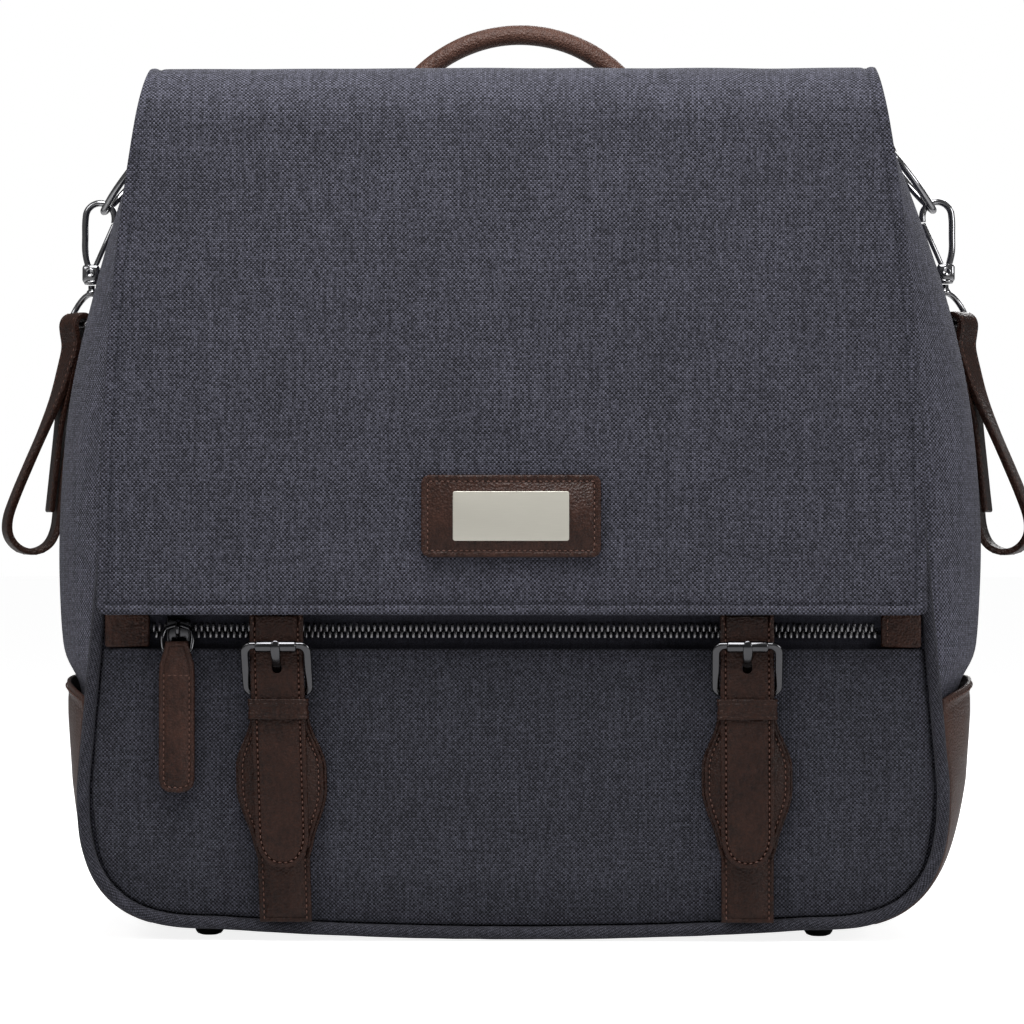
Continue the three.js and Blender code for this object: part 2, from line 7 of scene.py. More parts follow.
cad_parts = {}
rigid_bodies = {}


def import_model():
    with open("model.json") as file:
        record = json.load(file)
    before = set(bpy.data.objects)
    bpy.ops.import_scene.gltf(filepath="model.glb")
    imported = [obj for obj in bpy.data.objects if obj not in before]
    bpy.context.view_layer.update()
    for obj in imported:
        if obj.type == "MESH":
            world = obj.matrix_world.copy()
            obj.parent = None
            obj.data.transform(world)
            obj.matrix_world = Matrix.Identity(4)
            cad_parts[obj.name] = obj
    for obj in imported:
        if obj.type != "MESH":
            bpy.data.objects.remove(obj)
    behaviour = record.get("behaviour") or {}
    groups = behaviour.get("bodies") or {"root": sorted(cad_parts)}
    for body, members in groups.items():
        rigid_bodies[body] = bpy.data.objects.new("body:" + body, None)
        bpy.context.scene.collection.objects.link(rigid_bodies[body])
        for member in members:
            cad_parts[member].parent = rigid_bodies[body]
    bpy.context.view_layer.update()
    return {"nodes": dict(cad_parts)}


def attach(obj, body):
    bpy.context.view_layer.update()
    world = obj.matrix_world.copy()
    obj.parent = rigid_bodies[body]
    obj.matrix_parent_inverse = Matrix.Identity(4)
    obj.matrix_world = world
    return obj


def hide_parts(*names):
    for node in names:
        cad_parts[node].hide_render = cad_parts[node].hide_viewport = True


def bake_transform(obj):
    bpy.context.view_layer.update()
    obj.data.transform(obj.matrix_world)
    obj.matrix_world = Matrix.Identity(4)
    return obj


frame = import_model()
mm = 0.001
sides = (("left", -1), ("right", 1))

# The bag's form, in millimetres.
form = {
    "frontY": -64, "backY": 80, "waistZ": 62, "waistHalf": 175, "highZ": 340, "highHalf": 150,
    "cornerX": 119, "cornerA": 56, "cornerB": 57, "cornerPower": 2.85, "sag": 4,
    "bulge": 29, "bulgeBelow": 40, "bulgeSpan": 375, "bulgePower": 1.485, "bulgeDepthPower": 0.8,
    "mouthZ": 337,
}


def mix(a, b, t):
    return a + (b - a) * t


def smooth(a, b, v):
    t = min(1, max(0, (v - a) / (b - a)))
    return t * t * (3 - 2 * t)


def steps(a, b, n):
    return [mix(a, b, i / n) for i in range(n + 1)]


def wave(x, y, z, size, seed=0):  # soft noise from -1 to 1, its lumps about size millimetres across
    return noise.noise(Vector((x / size + seed, y / size, z / size)))


def panelHalf(z):  # half the width of the front and back
    f = form
    if z >= f["waistZ"]:
        return mix(f["waistHalf"], f["highHalf"], (z - f["waistZ"]) / (f["highZ"] - f["waistZ"]))
    k = min(1, (f["waistZ"] - z) / f["cornerB"])
    return f["cornerX"] + f["cornerA"] * (1 - k ** f["cornerPower"]) ** (1 / f["cornerPower"])


def bottomZ(x, inset=0):  # the underside, sagging in the middle and rising round the corners
    f = form
    past = min(1, max(0, abs(x) - f["cornerX"]) / (f["cornerA"] - inset))
    drop = (f["cornerB"] - inset) * (1 - past ** f["cornerPower"]) ** (1 / f["cornerPower"])
    return f["waistZ"] - drop - f["sag"] * max(0, 1 - (x / f["cornerX"]) ** 2)


def sideBulge(z, y):  # how far the sides stand out past the panels
    f = form
    up = min(1, max(0, (z + f["bulgeBelow"]) / f["bulgeSpan"]))
    s = min(1, max(0, (y - f["frontY"]) / (f["backY"] - f["frontY"])))
    high = math.sin(math.pi * up ** f["bulgePower"])
    return f["bulge"] * high * math.sin(math.pi * s ** f["bulgeDepthPower"])


def edgeAt(u, d, topZ):  # a point on the right edge, from the top at 0 to under the corner at 1, inset by d
    f = form
    if u <= 0.62:
        z = mix(topZ, f["waistZ"], u / 0.62)
        return panelHalf(z) - d, z
    t = math.radians(72) * (u - 0.62) / 0.38
    e = 2 / f["cornerPower"]
    return (f["cornerX"] + (f["cornerA"] - d) * math.cos(t) ** e,
            f["waistZ"] - (f["cornerB"] - d) * math.sin(t) ** e)


def behindPocket(z, middle):  # how far the cloth side is set in behind the leather pocket
    return 1.6 * smooth(112, 104, z) + 4.2 * middle * smooth(116, 98, z) * smooth(18, 44, z)


# Node materials.
def newMaterial(name):
    m = bpy.data.materials.new(name)
    m.use_nodes = True
    m.node_tree.nodes.clear()
    return m, m.node_tree.nodes, m.node_tree.links


class Net:  # short ways to add and join shader nodes
    def __init__(self, name):
        self.m, self.n, self.l = newMaterial(name)
        self.shader = self.n.new("ShaderNodeBsdfPrincipled")
        out = self.n.new("ShaderNodeOutputMaterial")
        self.l.new(self.shader.outputs[0], out.inputs[0])

    def put(self, socket, value):
        if hasattr(value, "is_output"):
            self.l.new(value, socket)
        else:
            socket.default_value = value

    def math(self, op, a, b=0.0, c=0.0):
        node = self.n.new("ShaderNodeMath")
        node.operation = op
        for i, v in enumerate((a, b, c)):
            self.put(node.inputs[i], v)
        return node.outputs[0]

    def coords(self, grain, scale):
        if grain:
            source = self.n.new("ShaderNodeUVMap")
            source.uv_map = "grain"
            place = source.outputs[0]
        else:
            place = self.n.new("ShaderNodeTexCoord").outputs["Object"]
        node = self.n.new("ShaderNodeMapping")
        self.l.new(place, node.inputs[0])
        node.inputs["Scale"].default_value = scale
        return node.outputs[0]

    def split(self, vector):
        node = self.n.new("ShaderNodeSeparateXYZ")
        self.l.new(vector, node.inputs[0])
        return node.outputs

    def joined(self, x, y):
        node = self.n.new("ShaderNodeCombineXYZ")
        self.put(node.inputs[0], x)
        self.put(node.inputs[1], y)
        return node.outputs[0]

    def noise(self, vector, scale, detail=3.0, rough=0.5):
        node = self.n.new("ShaderNodeTexNoise")
        self.l.new(vector, node.inputs["Vector"])
        node.inputs["Scale"].default_value = scale
        node.inputs["Detail"].default_value = detail
        node.inputs["Roughness"].default_value = rough
        return node.outputs["Fac"]

    def cells(self, vector, scale):
        node = self.n.new("ShaderNodeTexVoronoi")
        node.feature = "F1"
        self.l.new(vector, node.inputs["Vector"])
        node.inputs["Scale"].default_value = scale
        return node.outputs["Distance"]

    def speckle(self, vector):
        node = self.n.new("ShaderNodeTexWhiteNoise")
        node.noise_dimensions = "2D"
        self.l.new(vector, node.inputs["Vector"])
        return node.outputs["Value"]

    def blend(self, fac, a, b):
        node = self.n.new("ShaderNodeMix")
        node.data_type = "RGBA"
        self.put(node.inputs[0], fac)
        self.put(node.inputs[6], (*a, 1))
        self.put(node.inputs[7], (*b, 1))
        return node.outputs[2]

    def span(self, value, a0, a1, b0, b1):
        node = self.n.new("ShaderNodeMapRange")
        for i, v in enumerate((value, a0, a1, b0, b1)):
            self.put(node.inputs[i], v)
        return node.outputs[0]

    def bump(self, height, strength, distance, below=None):
        node = self.n.new("ShaderNodeBump")
        node.inputs["Strength"].default_value = strength
        node.inputs["Distance"].default_value = distance
        self.l.new(height, node.inputs["Height"])
        if below is not None:
            self.l.new(below, node.inputs["Normal"])
        return node.outputs[0]

    def finish(self, **sockets):
        for name, value in sockets.items():
            self.put(self.shader.inputs[name.replace("_", " ")], value)
        return self.m


def wovenCloth(name, dark, pale, pitch, contrast=1.0):
    # A plain weave of pale and dark yarns, each crossing about half a pitch wide.
    net = Net(name)
    pitch *= mm
    uv = net.split(net.coords(True, (2 / pitch, 2 / pitch, 1)))
    wob = net.coords(True, (1, 1, 1))
    u = net.math("ADD", uv[0], net.math("MULTIPLY", net.noise(wob, 90), 1.2))
    v = net.math("ADD", uv[1], net.math("MULTIPLY", net.noise(wob, 75), 1.2))
    cu, cv = net.math("FLOOR", u), net.math("FLOOR", v)
    odd = net.math("MODULO", net.math("ABSOLUTE", net.math("ADD", cu, cv)), 2.0)
    fu = net.math("SUBTRACT", net.math("FRACT", u), 0.5)
    fv = net.math("SUBTRACT", net.math("FRACT", v), 0.5)
    roundU = net.math("COSINE", net.math("MULTIPLY", fu, 2.7))
    roundV = net.math("COSINE", net.math("MULTIPLY", fv, 2.7))
    height = net.math("MULTIPLY", roundU, roundV)
    fleck = net.speckle(net.joined(cu, cv))
    warpYarn = net.speckle(net.joined(cu, net.math("FLOOR", net.math("MULTIPLY", cv, 0.03))))
    weftYarn = net.speckle(net.joined(net.math("FLOOR", net.math("MULTIPLY", cu, 0.02)), cv))
    slub = net.noise(net.coords(True, (1, 0.07, 1)), 800, 4)
    cloud = net.noise(net.coords(True, (1, 1, 1)), 28, 2)
    bright = net.math("MULTIPLY", odd, 0.42)
    bright = net.math("ADD", bright, net.math("MULTIPLY", fleck, 0.34))
    bright = net.math("ADD", bright, net.math("MULTIPLY", warpYarn, 0.10))
    bright = net.math("ADD", bright, net.math("MULTIPLY", weftYarn, 0.08))
    bright = net.math("ADD", bright, net.math("MULTIPLY", slub, 0.30))
    bright = net.math("ADD", bright, net.math("MULTIPLY", cloud, 0.12))
    bright = net.math("MULTIPLY", net.math("SUBTRACT", bright, 0.42), contrast)
    # The colour darkens in the hollows between yarn crossings, where the height is low: painted shade.
    shade = net.math("MULTIPLY", bright, net.span(height, 0.05, 0.8, 0.45, 1.0))
    colour = net.blend(net.math("MINIMUM", net.math("MAXIMUM", shade, 0.0), 1.0), dark, pale)
    normal = net.bump(height, 0.55, 0.00035)
    fuzz = net.noise(net.coords(True, (1, 1, 1)), 4000, 2)
    return net.finish(Base_Color=colour, Roughness=net.span(fuzz, 0, 1, 0.78, 0.98),
                      Normal=net.bump(fuzz, 0.2, 0.0001, normal),
                      Sheen_Weight=0.04, Sheen_Roughness=0.5, Specular_IOR_Level=0.25)


def leatherSkin(name, base, wornAndLitRidges, grainSize=0.9, creases=0.35):
    net = Net(name)
    place = net.coords(False, (1, 1, 1))
    pores = net.cells(place, 1 / (grainSize * mm))
    fine = net.noise(place, 2600, 3)
    drawn = net.noise(net.coords(False, (1, 1, 0.5)), 620, 4)
    patchy = net.noise(place, 55, 4)
    speck = net.noise(place, 1500, 2, 0.7)
    # drawn is the crease relief that also bumps the surface; in the tone it makes crease ridges paler and
    # furrows darker, painted light and shade in the creases, while patchy and speck vary at random.
    tone = net.math("ADD", net.math("MULTIPLY", patchy, 0.30), net.math("MULTIPLY", drawn, 0.42))
    tone = net.math("ADD", tone, net.math("MULTIPLY", speck, 0.46))
    colour = net.blend(net.span(tone, 0.44, 0.78, 0, 1), base, wornAndLitRidges)
    first = net.bump(pores, 0.8, 0.0004)
    second = net.bump(fine, 0.4, 0.0002, first)
    third = net.bump(drawn, creases, 0.0009, second)
    return net.finish(Base_Color=colour, Roughness=net.span(patchy, 0.2, 0.8, 0.36, 0.5), Normal=third,
                      Specular_IOR_Level=0.24)


def plated(name, colour, rough, brushed=False):
    net = Net(name)
    if brushed:
        lines = net.noise(net.coords(False, (0.03, 1, 1)), 4200, 3, 0.6)
        tint = net.blend(lines, [c * 0.86 for c in colour], colour)
        sheen = net.span(lines, 0.2, 0.8, rough - 0.06, rough + 0.1)
        return net.finish(Base_Color=tint, Metallic=0.55, Roughness=sheen,
                          Normal=net.bump(lines, 0.12, 0.00008), Anisotropic=0.5)
    smear = net.noise(net.coords(False, (1, 1, 1)), 180, 3)
    tint = net.blend(smear, [c * 0.85 for c in colour], colour)
    sheen = net.span(smear, 0.3, 0.7, rough - 0.04, rough + 0.07)
    return net.finish(Base_Color=tint, Metallic=1.0, Roughness=sheen)


def simpleFinish(name, colour, rough, grainScale, strength):
    net = Net(name)
    speck = net.noise(net.coords(False, (1, 1, 1)), grainScale, 3)
    tint = net.blend(speck, [c * 0.75 for c in colour], [min(1, c * 1.2) for c in colour])
    return net.finish(Base_Color=tint, Roughness=rough, Normal=net.bump(speck, strength, 0.00015))


# The colours are linear red, green and blue: for cloth the dark and the pale yarn, for leather its
# ground and a paler tone for its worn places and for its crease ridges, which is painted light. The number
# after a cloth's colours is its weave's pitch.
finishes = {
    "cloth": wovenCloth("navyWeave", (0.0055, 0.0055, 0.0084), (0.186, 0.186, 0.244), 1.6),
    # A paler copy of the navy weave for the sides: painted sheen, standing in for the brighter light the
    # sides catch at grazing angles.
    "sideCloth": wovenCloth("sideWeavePaintedSheen", (0.0070, 0.0070, 0.0105), (0.285, 0.285, 0.372), 1.6),
    # A darker copy of the navy weave for the front pocket: painted shade, standing in for the shadow under
    # the flap.
    "pocketClothPaintedShade": wovenCloth("pocketWeavePaintedShade", (0.0052, 0.0052, 0.0078), (0.122, 0.124, 0.162), 1.6),
    "pipingCloth": wovenCloth("pipingWeave", (0.006, 0.006, 0.009), (0.13, 0.13, 0.165), 1.3),
    "tape": wovenCloth("zipTapeWeave", (0.010, 0.010, 0.015), (0.10, 0.10, 0.135), 0.6),
    "lining": wovenCloth("liningTwill", (0.075, 0.072, 0.068), (0.34, 0.325, 0.30), 0.5, 0.8),
    "leather": leatherSkin("brownLeather", (0.0072, 0.0023, 0.0013), (0.038, 0.0140, 0.0082), 1.0, 0.3),
    "trimLeather": leatherSkin("trimLeather", (0.0125, 0.0046, 0.0030), (0.060, 0.0245, 0.0160), 1.0, 0.3),
    "pocketLeather": leatherSkin("sideLeather", (0.026, 0.0105, 0.0075), (0.080, 0.038, 0.027), 1.0, 0.3),
    "handleLeather": leatherSkin("handleLeather", (0.042, 0.0185, 0.0130), (0.110, 0.055, 0.040), 0.9, 0.25),
    "thread": simpleFinish("brownThread", (0.095, 0.041, 0.028), 0.6, 9000, 0.5),
    "navyThread": simpleFinish("navyThread", (0.020, 0.021, 0.032), 0.75, 9000, 0.5),
    "gunmetal": plated("gunmetal", (0.10, 0.10, 0.105), 0.13),
    # A paler copy of the gunmetal for the side clips: painted reflection, standing in for the white studio
    # their polished faces would mirror.
    "clipMetalPaintedReflection": plated("clipMetalPaintedReflection", (0.34, 0.34, 0.35), 0.13),
    "tooth": plated("zipTooth", (0.27, 0.265, 0.275), 0.25),
    "plate": plated("champagnePlate", (0.71, 0.685, 0.600), 0.42, True),
    "nickel": plated("snapNickel", (0.62, 0.60, 0.56), 0.22),
    "foot": simpleFinish("footPlastic", (0.010, 0.010, 0.011), 0.4, 1500, 0.1),
    "board": simpleFinish("baseBoard", (0.02, 0.02, 0.02), 0.8, 600, 0.3),
}
print("materials made")


# Ways of making pieces.
def piece(name, bm, finish, body, nodes=()):
    mesh = bpy.data.meshes.new(name)
    bm.to_mesh(mesh)
    bm.free()
    mesh.shade_smooth()
    obj = bpy.data.objects.new(name, mesh)
    bpy.context.scene.collection.objects.link(obj)
    mesh.materials.append(finishes[finish])
    if body:
        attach(obj, body)
    if nodes:
        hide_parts(*nodes)
    return obj


def thicken(obj, thick, levels=1, offset=-1):
    if thick:
        wall = obj.modifiers.new("thickness", "SOLIDIFY")
        wall.thickness = thick * mm
        wall.offset = offset
    if levels:
        sub = obj.modifiers.new("roundness", "SUBSURF")
        sub.levels = sub.render_levels = levels
    return obj


def sheetMesh(us, vs, place, grain, out=None, closeSeam=False):
    # A grid whose columns and rows are us and vs, laid out by place, in millimetres.
    bm = bmesh.new()
    nu, nv = len(us) - 1, len(vs) - 1
    bmesh.ops.create_grid(bm, x_segments=nu, y_segments=nv, size=0.5)
    layer = bm.loops.layers.uv.new("grain")
    for v in bm.verts:
        v.co.z = 0
    at = {v: (us[round((v.co.x + 0.5) * nu)], vs[round((v.co.y + 0.5) * nv)]) for v in bm.verts}
    for v, (a, b) in at.items():
        v.co = Vector(place(a, b)) * mm
    for f in bm.faces:
        for loop in f.loops:
            p = loop.vert.co / mm
            loop[layer].uv = Vector(grain(*at[loop.vert], p)) * mm
    bm.normal_update()
    if closeSeam:
        bmesh.ops.remove_doubles(bm, verts=bm.verts, dist=1e-6)
        bmesh.ops.recalc_face_normals(bm, faces=bm.faces)
    elif out is not None:
        lean = sum(f.normal.dot(Vector(out(f.calc_center_median() / mm))) * f.calc_area() for f in bm.faces)
        if lean < 0:
            bmesh.ops.reverse_faces(bm, faces=bm.faces)
    return bm


def rounded(half, high, radius, x=0, z=0, n=5):  # a rectangle with round corners
    points = []
    for sx, sz, start in ((1, 1, 0), (-1, 1, 90), (-1, -1, 180), (1, -1, 270)):
        for i in range(n + 1):
            t = math.radians(start + 90 * i / n)
            points.append((x + sx * (half - radius) + radius * math.cos(t),
                           z + sz * (high - radius) + radius * math.sin(t)))
    return points


def bevel(bm, edges, wide, segments=2):
    bmesh.ops.bevel(bm, geom=list(edges), offset=wide * mm, affect="EDGES", segments=segments, profile=0.5,
                    material=-1)


def capEnds(bm):  # closes the open ends of a tube
    bmesh.ops.holes_fill(bm, edges=[e for e in bm.edges if e.is_boundary], sides=0)
    bmesh.ops.recalc_face_normals(bm, faces=bm.faces)


def slabMesh(outline, y0, y1, edge=0.6, groove=0.0, rows=(), bend=None, depth=0.75):
    # An outline in X and Z from depth y0, its front, to y1, with round edges. Its front has a sewn
    # groove, set in by groove, and is cut across at the heights in rows so that it can bend.
    bm = bmesh.new()
    bmesh.ops.create_circle(bm, cap_ends=True, segments=len(outline), radius=1)
    for v, (x, z) in zip(bm.verts, outline):
        v.co = (x * mm, y0 * mm, z * mm)
    bm.faces.ensure_lookup_table()
    front = bm.faces[0]
    front.normal_update()
    made = bmesh.ops.extrude_face_region(bm, geom=[front])
    back = [g for g in made["geom"] if isinstance(g, bmesh.types.BMVert)]
    bmesh.ops.translate(bm, vec=(0, (y1 - y0) * mm, 0), verts=back)
    bmesh.ops.recalc_face_normals(bm, faces=bm.faces)
    caps = [f for f in bm.faces if len(f.verts) == len(outline)]
    if edge:
        bevel(bm, {e for f in caps for e in f.edges}, edge, 3)
    if groove:
        caps = [f for f in bm.faces if len(f.verts) >= len(outline)]
        face = min(caps, key=lambda f: f.calc_center_median().y)
        for wide, deep in ((groove - edge - 0.5, 0), (0.5, -depth), (0.5, depth)):
            bmesh.ops.inset_region(bm, faces=[face], thickness=wide * mm, depth=deep * mm,
                                   use_even_offset=True)
    for z in rows:
        every = bm.verts[:] + bm.edges[:] + bm.faces[:]
        bmesh.ops.bisect_plane(bm, geom=every, plane_co=(0, 0, z * mm), plane_no=(0, 0, 1))
    if bend:
        for v in bm.verts:
            v.co.y += bend(v.co.x / mm, v.co.z / mm) * mm
    return bm


def mirrored(right):
    return list(right) + [(-x, z) for x, z in reversed(right)]


def moved(outline, dx):
    return [(x + dx, z) for x, z in outline]


def insetLine(outline, d, closed=True):  # the outline moved in by d
    n = len(outline)
    area = sum(a[0] * b[1] - b[0] * a[1] for a, b in zip(outline, outline[1:] + outline[:1]))
    turn = 1 if area > 0 else -1
    line = []
    for i, (x, z) in enumerate(outline):
        before = outline[i - 1] if closed or i else outline[i]
        after = outline[(i + 1) % n] if closed or i < n - 1 else outline[i]
        way = Vector((after[0] - before[0], after[1] - before[1]))
        if way.length:
            way.normalize()
        line.append((x - way.y * d * turn, z + way.x * d * turn))
    return line


def stitchRow(bm, points, pitch=2.4, long=1.7, radius=0.34, closed=False):
    # Small rounded stitches laid end to end along a line of points, in millimetres.
    points = [Vector(p) for p in points]
    if closed:
        points.append(points[0].copy())
    lengths = [(b - a).length for a, b in zip(points, points[1:])]
    total = sum(lengths)
    count = max(1, round(total / pitch))
    for k in range(count):
        goal = (k + 0.5) * total / count
        for a, b, part in zip(points, points[1:], lengths):
            if goal <= part or part == lengths[-1] and b == points[-1]:
                break
            goal -= part
        way = (b - a).normalized()
        place = a + way * min(goal, part)
        turn = way.to_track_quat("X", "Z").to_matrix().to_4x4()
        size = Matrix.Diagonal((long / 2 * mm, radius * mm, radius * mm, 1))
        shape = Matrix.Translation(place * mm) @ turn @ size
        bmesh.ops.create_uvsphere(bm, u_segments=6, v_segments=4, radius=1, matrix=shape)


sewing = {  # pitch, length and half thickness of the stitches
    "cloth": (3.0, 2.2, 0.26), "trim": (2.3, 1.6, 0.32), "anchor": (2.6, 1.8, 0.3),
    "pocket": (3.0, 2.1, 0.34),
    "loop": (2.8, 1.9, 0.27), "tab": (2.4, 1.7, 0.28),
}


def stitches(name, lines, kind, body):
    bm = bmesh.new()
    for line, closed in lines:
        stitchRow(bm, line, *sewing[kind], closed)
    return piece(name, bm, "navyThread" if kind == "cloth" else "thread", body)


def onFront(outline, y, bend=None):
    return [(x, y + (bend(x, z) if bend else 0), z) for x, z in outline]


def rodMesh(bm, a, b, radius, sidesCount=16, edge=0.0):
    a, b = Vector(a), Vector(b)
    way = b - a
    turn = way.to_track_quat("Z", "Y").to_matrix().to_4x4()
    place = Matrix.Translation((a + b) / 2 * mm) @ turn
    made = bmesh.ops.create_cone(bm, cap_ends=True, segments=sidesCount, radius1=radius * mm,
                                 radius2=radius * mm, depth=way.length * mm, matrix=place)
    if edge:
        caps = {f for v in made["verts"] for f in v.link_faces if len(f.verts) == sidesCount}
        bevel(bm, {e for f in caps for e in f.edges}, edge)


def blockMesh(bm, low, high, edge=0.4):
    low, high = Vector(low), Vector(high)
    shape = Matrix.Translation((low + high) / 2 * mm) @ Matrix.Diagonal((*((high - low) * mm), 1))
    made = bmesh.ops.create_cube(bm, size=1, matrix=shape)
    bevel(bm, {e for v in made["verts"] for e in v.link_edges}, edge)


def wireMesh(points, radius, closed=False, around=12, each=6):
    # A round wire along a smooth line, as a curve made into a mesh.
    curve = bpy.data.curves.new("wire", "CURVE")
    curve.dimensions = "3D"
    curve.bevel_depth = radius * mm
    curve.bevel_resolution = around // 4
    curve.resolution_u = each
    curve.use_fill_caps = True
    spline = curve.splines.new("BEZIER")
    spline.bezier_points.add(len(points) - 1)
    for p, co in zip(spline.bezier_points, points):
        p.co = Vector(co) * mm
        p.handle_left_type = p.handle_right_type = "AUTO"
    spline.use_cyclic_u = closed
    holder = bpy.data.objects.new("wire", curve)
    bpy.context.scene.collection.objects.link(holder)
    bpy.context.view_layer.update()
    mesh = bpy.data.meshes.new_from_object(holder.evaluated_get(bpy.context.evaluated_depsgraph_get()))
    bm = bmesh.new()
    bm.from_mesh(mesh)
    bpy.data.objects.remove(holder)
    bpy.data.meshes.remove(mesh)
    bpy.data.curves.remove(curve)
    bmesh.ops.remove_doubles(bm, verts=bm.verts, dist=1e-6)
    bmesh.ops.recalc_face_normals(bm, faces=bm.faces)
    return bm


def lathe(bm, profile, centre, axis, segments=32):
    # A profile of radius and height turned full circle about an axis through centre.
    axis = Vector(axis).normalized()
    side = axis.orthogonal().normalized()
    centre = Vector(centre)
    ring = [bm.verts.new((centre + side * r + axis * h) * mm) for r, h in profile]
    edges = [bm.edges.new(pair) for pair in zip(ring, ring[1:])]
    bmesh.ops.spin(bm, geom=ring + edges, cent=centre * mm, axis=axis, dvec=(0, 0, 0), angle=math.tau,
                   steps=segments, use_merge=True)
    bmesh.ops.remove_doubles(bm, verts=bm.verts, dist=2e-6)
    bmesh.ops.recalc_face_normals(bm, faces=bm.faces)


def absorb(bm, other):  # adds another bmesh's shape to this one
    mesh = bpy.data.meshes.new("part")
    other.to_mesh(mesh)
    other.free()
    bm.from_mesh(mesh)
    bpy.data.meshes.remove(mesh)


# Camera, light and floor.
studio = {"distance": 1.671, "turn": 1.2, "height": 0.1722, "lens": 140.6,
          "keyWatts": 4.7, "fillWatts": 6.2, "topWatts": 8.1, "sky": 0.165, "floorGlow": 0.86}


def buildStudio():
    scene = bpy.context.scene
    scene.view_settings.view_transform = "Standard"
    camera = bpy.data.objects.new("camera", bpy.data.cameras.new("camera"))
    scene.collection.objects.link(camera)
    t = math.radians(studio["turn"])
    camera.location = (studio["distance"] * math.sin(t), -studio["distance"] * math.cos(t), studio["height"])
    aim = Vector((0, -0.071, studio["height"])) - camera.location
    camera.rotation_euler = aim.to_track_quat("-Z", "Y").to_euler()
    camera.data.lens = studio["lens"]
    camera.data.clip_start = 0.05
    scene.camera = camera
    world = bpy.data.worlds.new("studio")
    world.use_nodes = True
    nodes, links = world.node_tree.nodes, world.node_tree.links
    sky = nodes["Background"]
    seen = nodes.new("ShaderNodeBackground")
    seen.inputs[1].default_value = 1.0
    sky.inputs[0].default_value = seen.inputs[0].default_value = (1, 1, 1, 1)
    sky.inputs[1].default_value = studio["sky"]
    path = nodes.new("ShaderNodeLightPath")
    both = nodes.new("ShaderNodeMixShader")
    links.new(path.outputs["Is Camera Ray"], both.inputs[0])
    links.new(sky.outputs[0], both.inputs[1])
    links.new(seen.outputs[0], both.inputs[2])
    links.new(both.outputs[0], nodes["World Output"].inputs[0])
    scene.world = world
    for name, place, size, watts in (
        ("keyLight", (-0.98, -0.95, 1.1), 0.7, studio["keyWatts"]),
        ("fillLight", (1.3, -0.7, 0.6), 0.6, studio["fillWatts"]),
        ("topLight", (-0.05, -0.30, 0.87), 0.5, studio["topWatts"]),
        ("backLight", (0.3, 1.3, 0.9), 0.9, studio["fillWatts"] * 2),
    ):
        light = bpy.data.lights.new(name, "AREA")
        light.shape = "SQUARE"
        light.size = size
        light.energy = watts
        lamp = bpy.data.objects.new(name, light)
        scene.collection.objects.link(lamp)
        lamp.location = place
        lamp.rotation_euler = (Vector((0, 0, 0.17)) - lamp.location).to_track_quat("-Z", "Y").to_euler()
    bm = bmesh.new()
    bmesh.ops.create_grid(bm, x_segments=1, y_segments=1, size=9)
    mesh = bpy.data.meshes.new("floor")
    bm.to_mesh(mesh)
    bm.free()
    floor = bpy.data.objects.new("floor", mesh)
    scene.collection.objects.link(floor)
    net = Net("paleFloor")
    glow = studio["floorGlow"]
    seenDirectly = net.n.new("ShaderNodeLightPath").outputs["Is Camera Ray"]
    mesh.materials.append(net.finish(Base_Color=(0.72, 0.72, 0.725, 1), Roughness=0.8, Specular_IOR_Level=0.1,
                                     Emission_Color=(glow, glow, glow, 1), Emission_Strength=seenDirectly))
    print("studio ready")


buildStudio()

# The cloth panels.
def frontGrain(u, v, p):
    return (p.x, p.z)


panelRows = {"across": 64, "down": 44}


def panelSheet(name, node, finish, inset, topZ, edgeY, faceY, sign, thick=2.6, puffWidth=16, seed=0):
    # A padded cloth panel of the bag's outline, sewn in round its edge and standing proud in the middle.
    full = form["waistHalf"] - inset

    def place(s, v):
        xBottom = s * full
        low = bottomZ(xBottom, inset) if abs(s) < 1 else form["waistZ"]
        z = mix(topZ, low, v)
        half = (panelHalf(z) if z > form["waistZ"] else form["waistHalf"]) - inset
        x = s * half
        away = min(half - abs(x), (z - low) * 0.9)
        rise = smooth(-1, puffWidth, away) ** 0.6 if away > -1 else 0
        y = mix(edgeY, faceY, rise) + sign * 0.5 * wave(x, 0, z, 55, seed) * smooth(2, 25, away)
        return (x, y, z)

    ss = [math.sin(math.pi / 2 * t) * 0.35 + t * 0.65 for t in steps(-1, 1, panelRows["across"])]
    vs = [1 - (1 - t) * (0.75 + 0.25 * (1 - t)) for t in steps(0, 1, panelRows["down"])]
    bm = sheetMesh(ss, vs, place, frontGrain, lambda p: (0, sign, 0))
    thicken(piece(name, bm, finish, "bag", [node]), thick, 1)


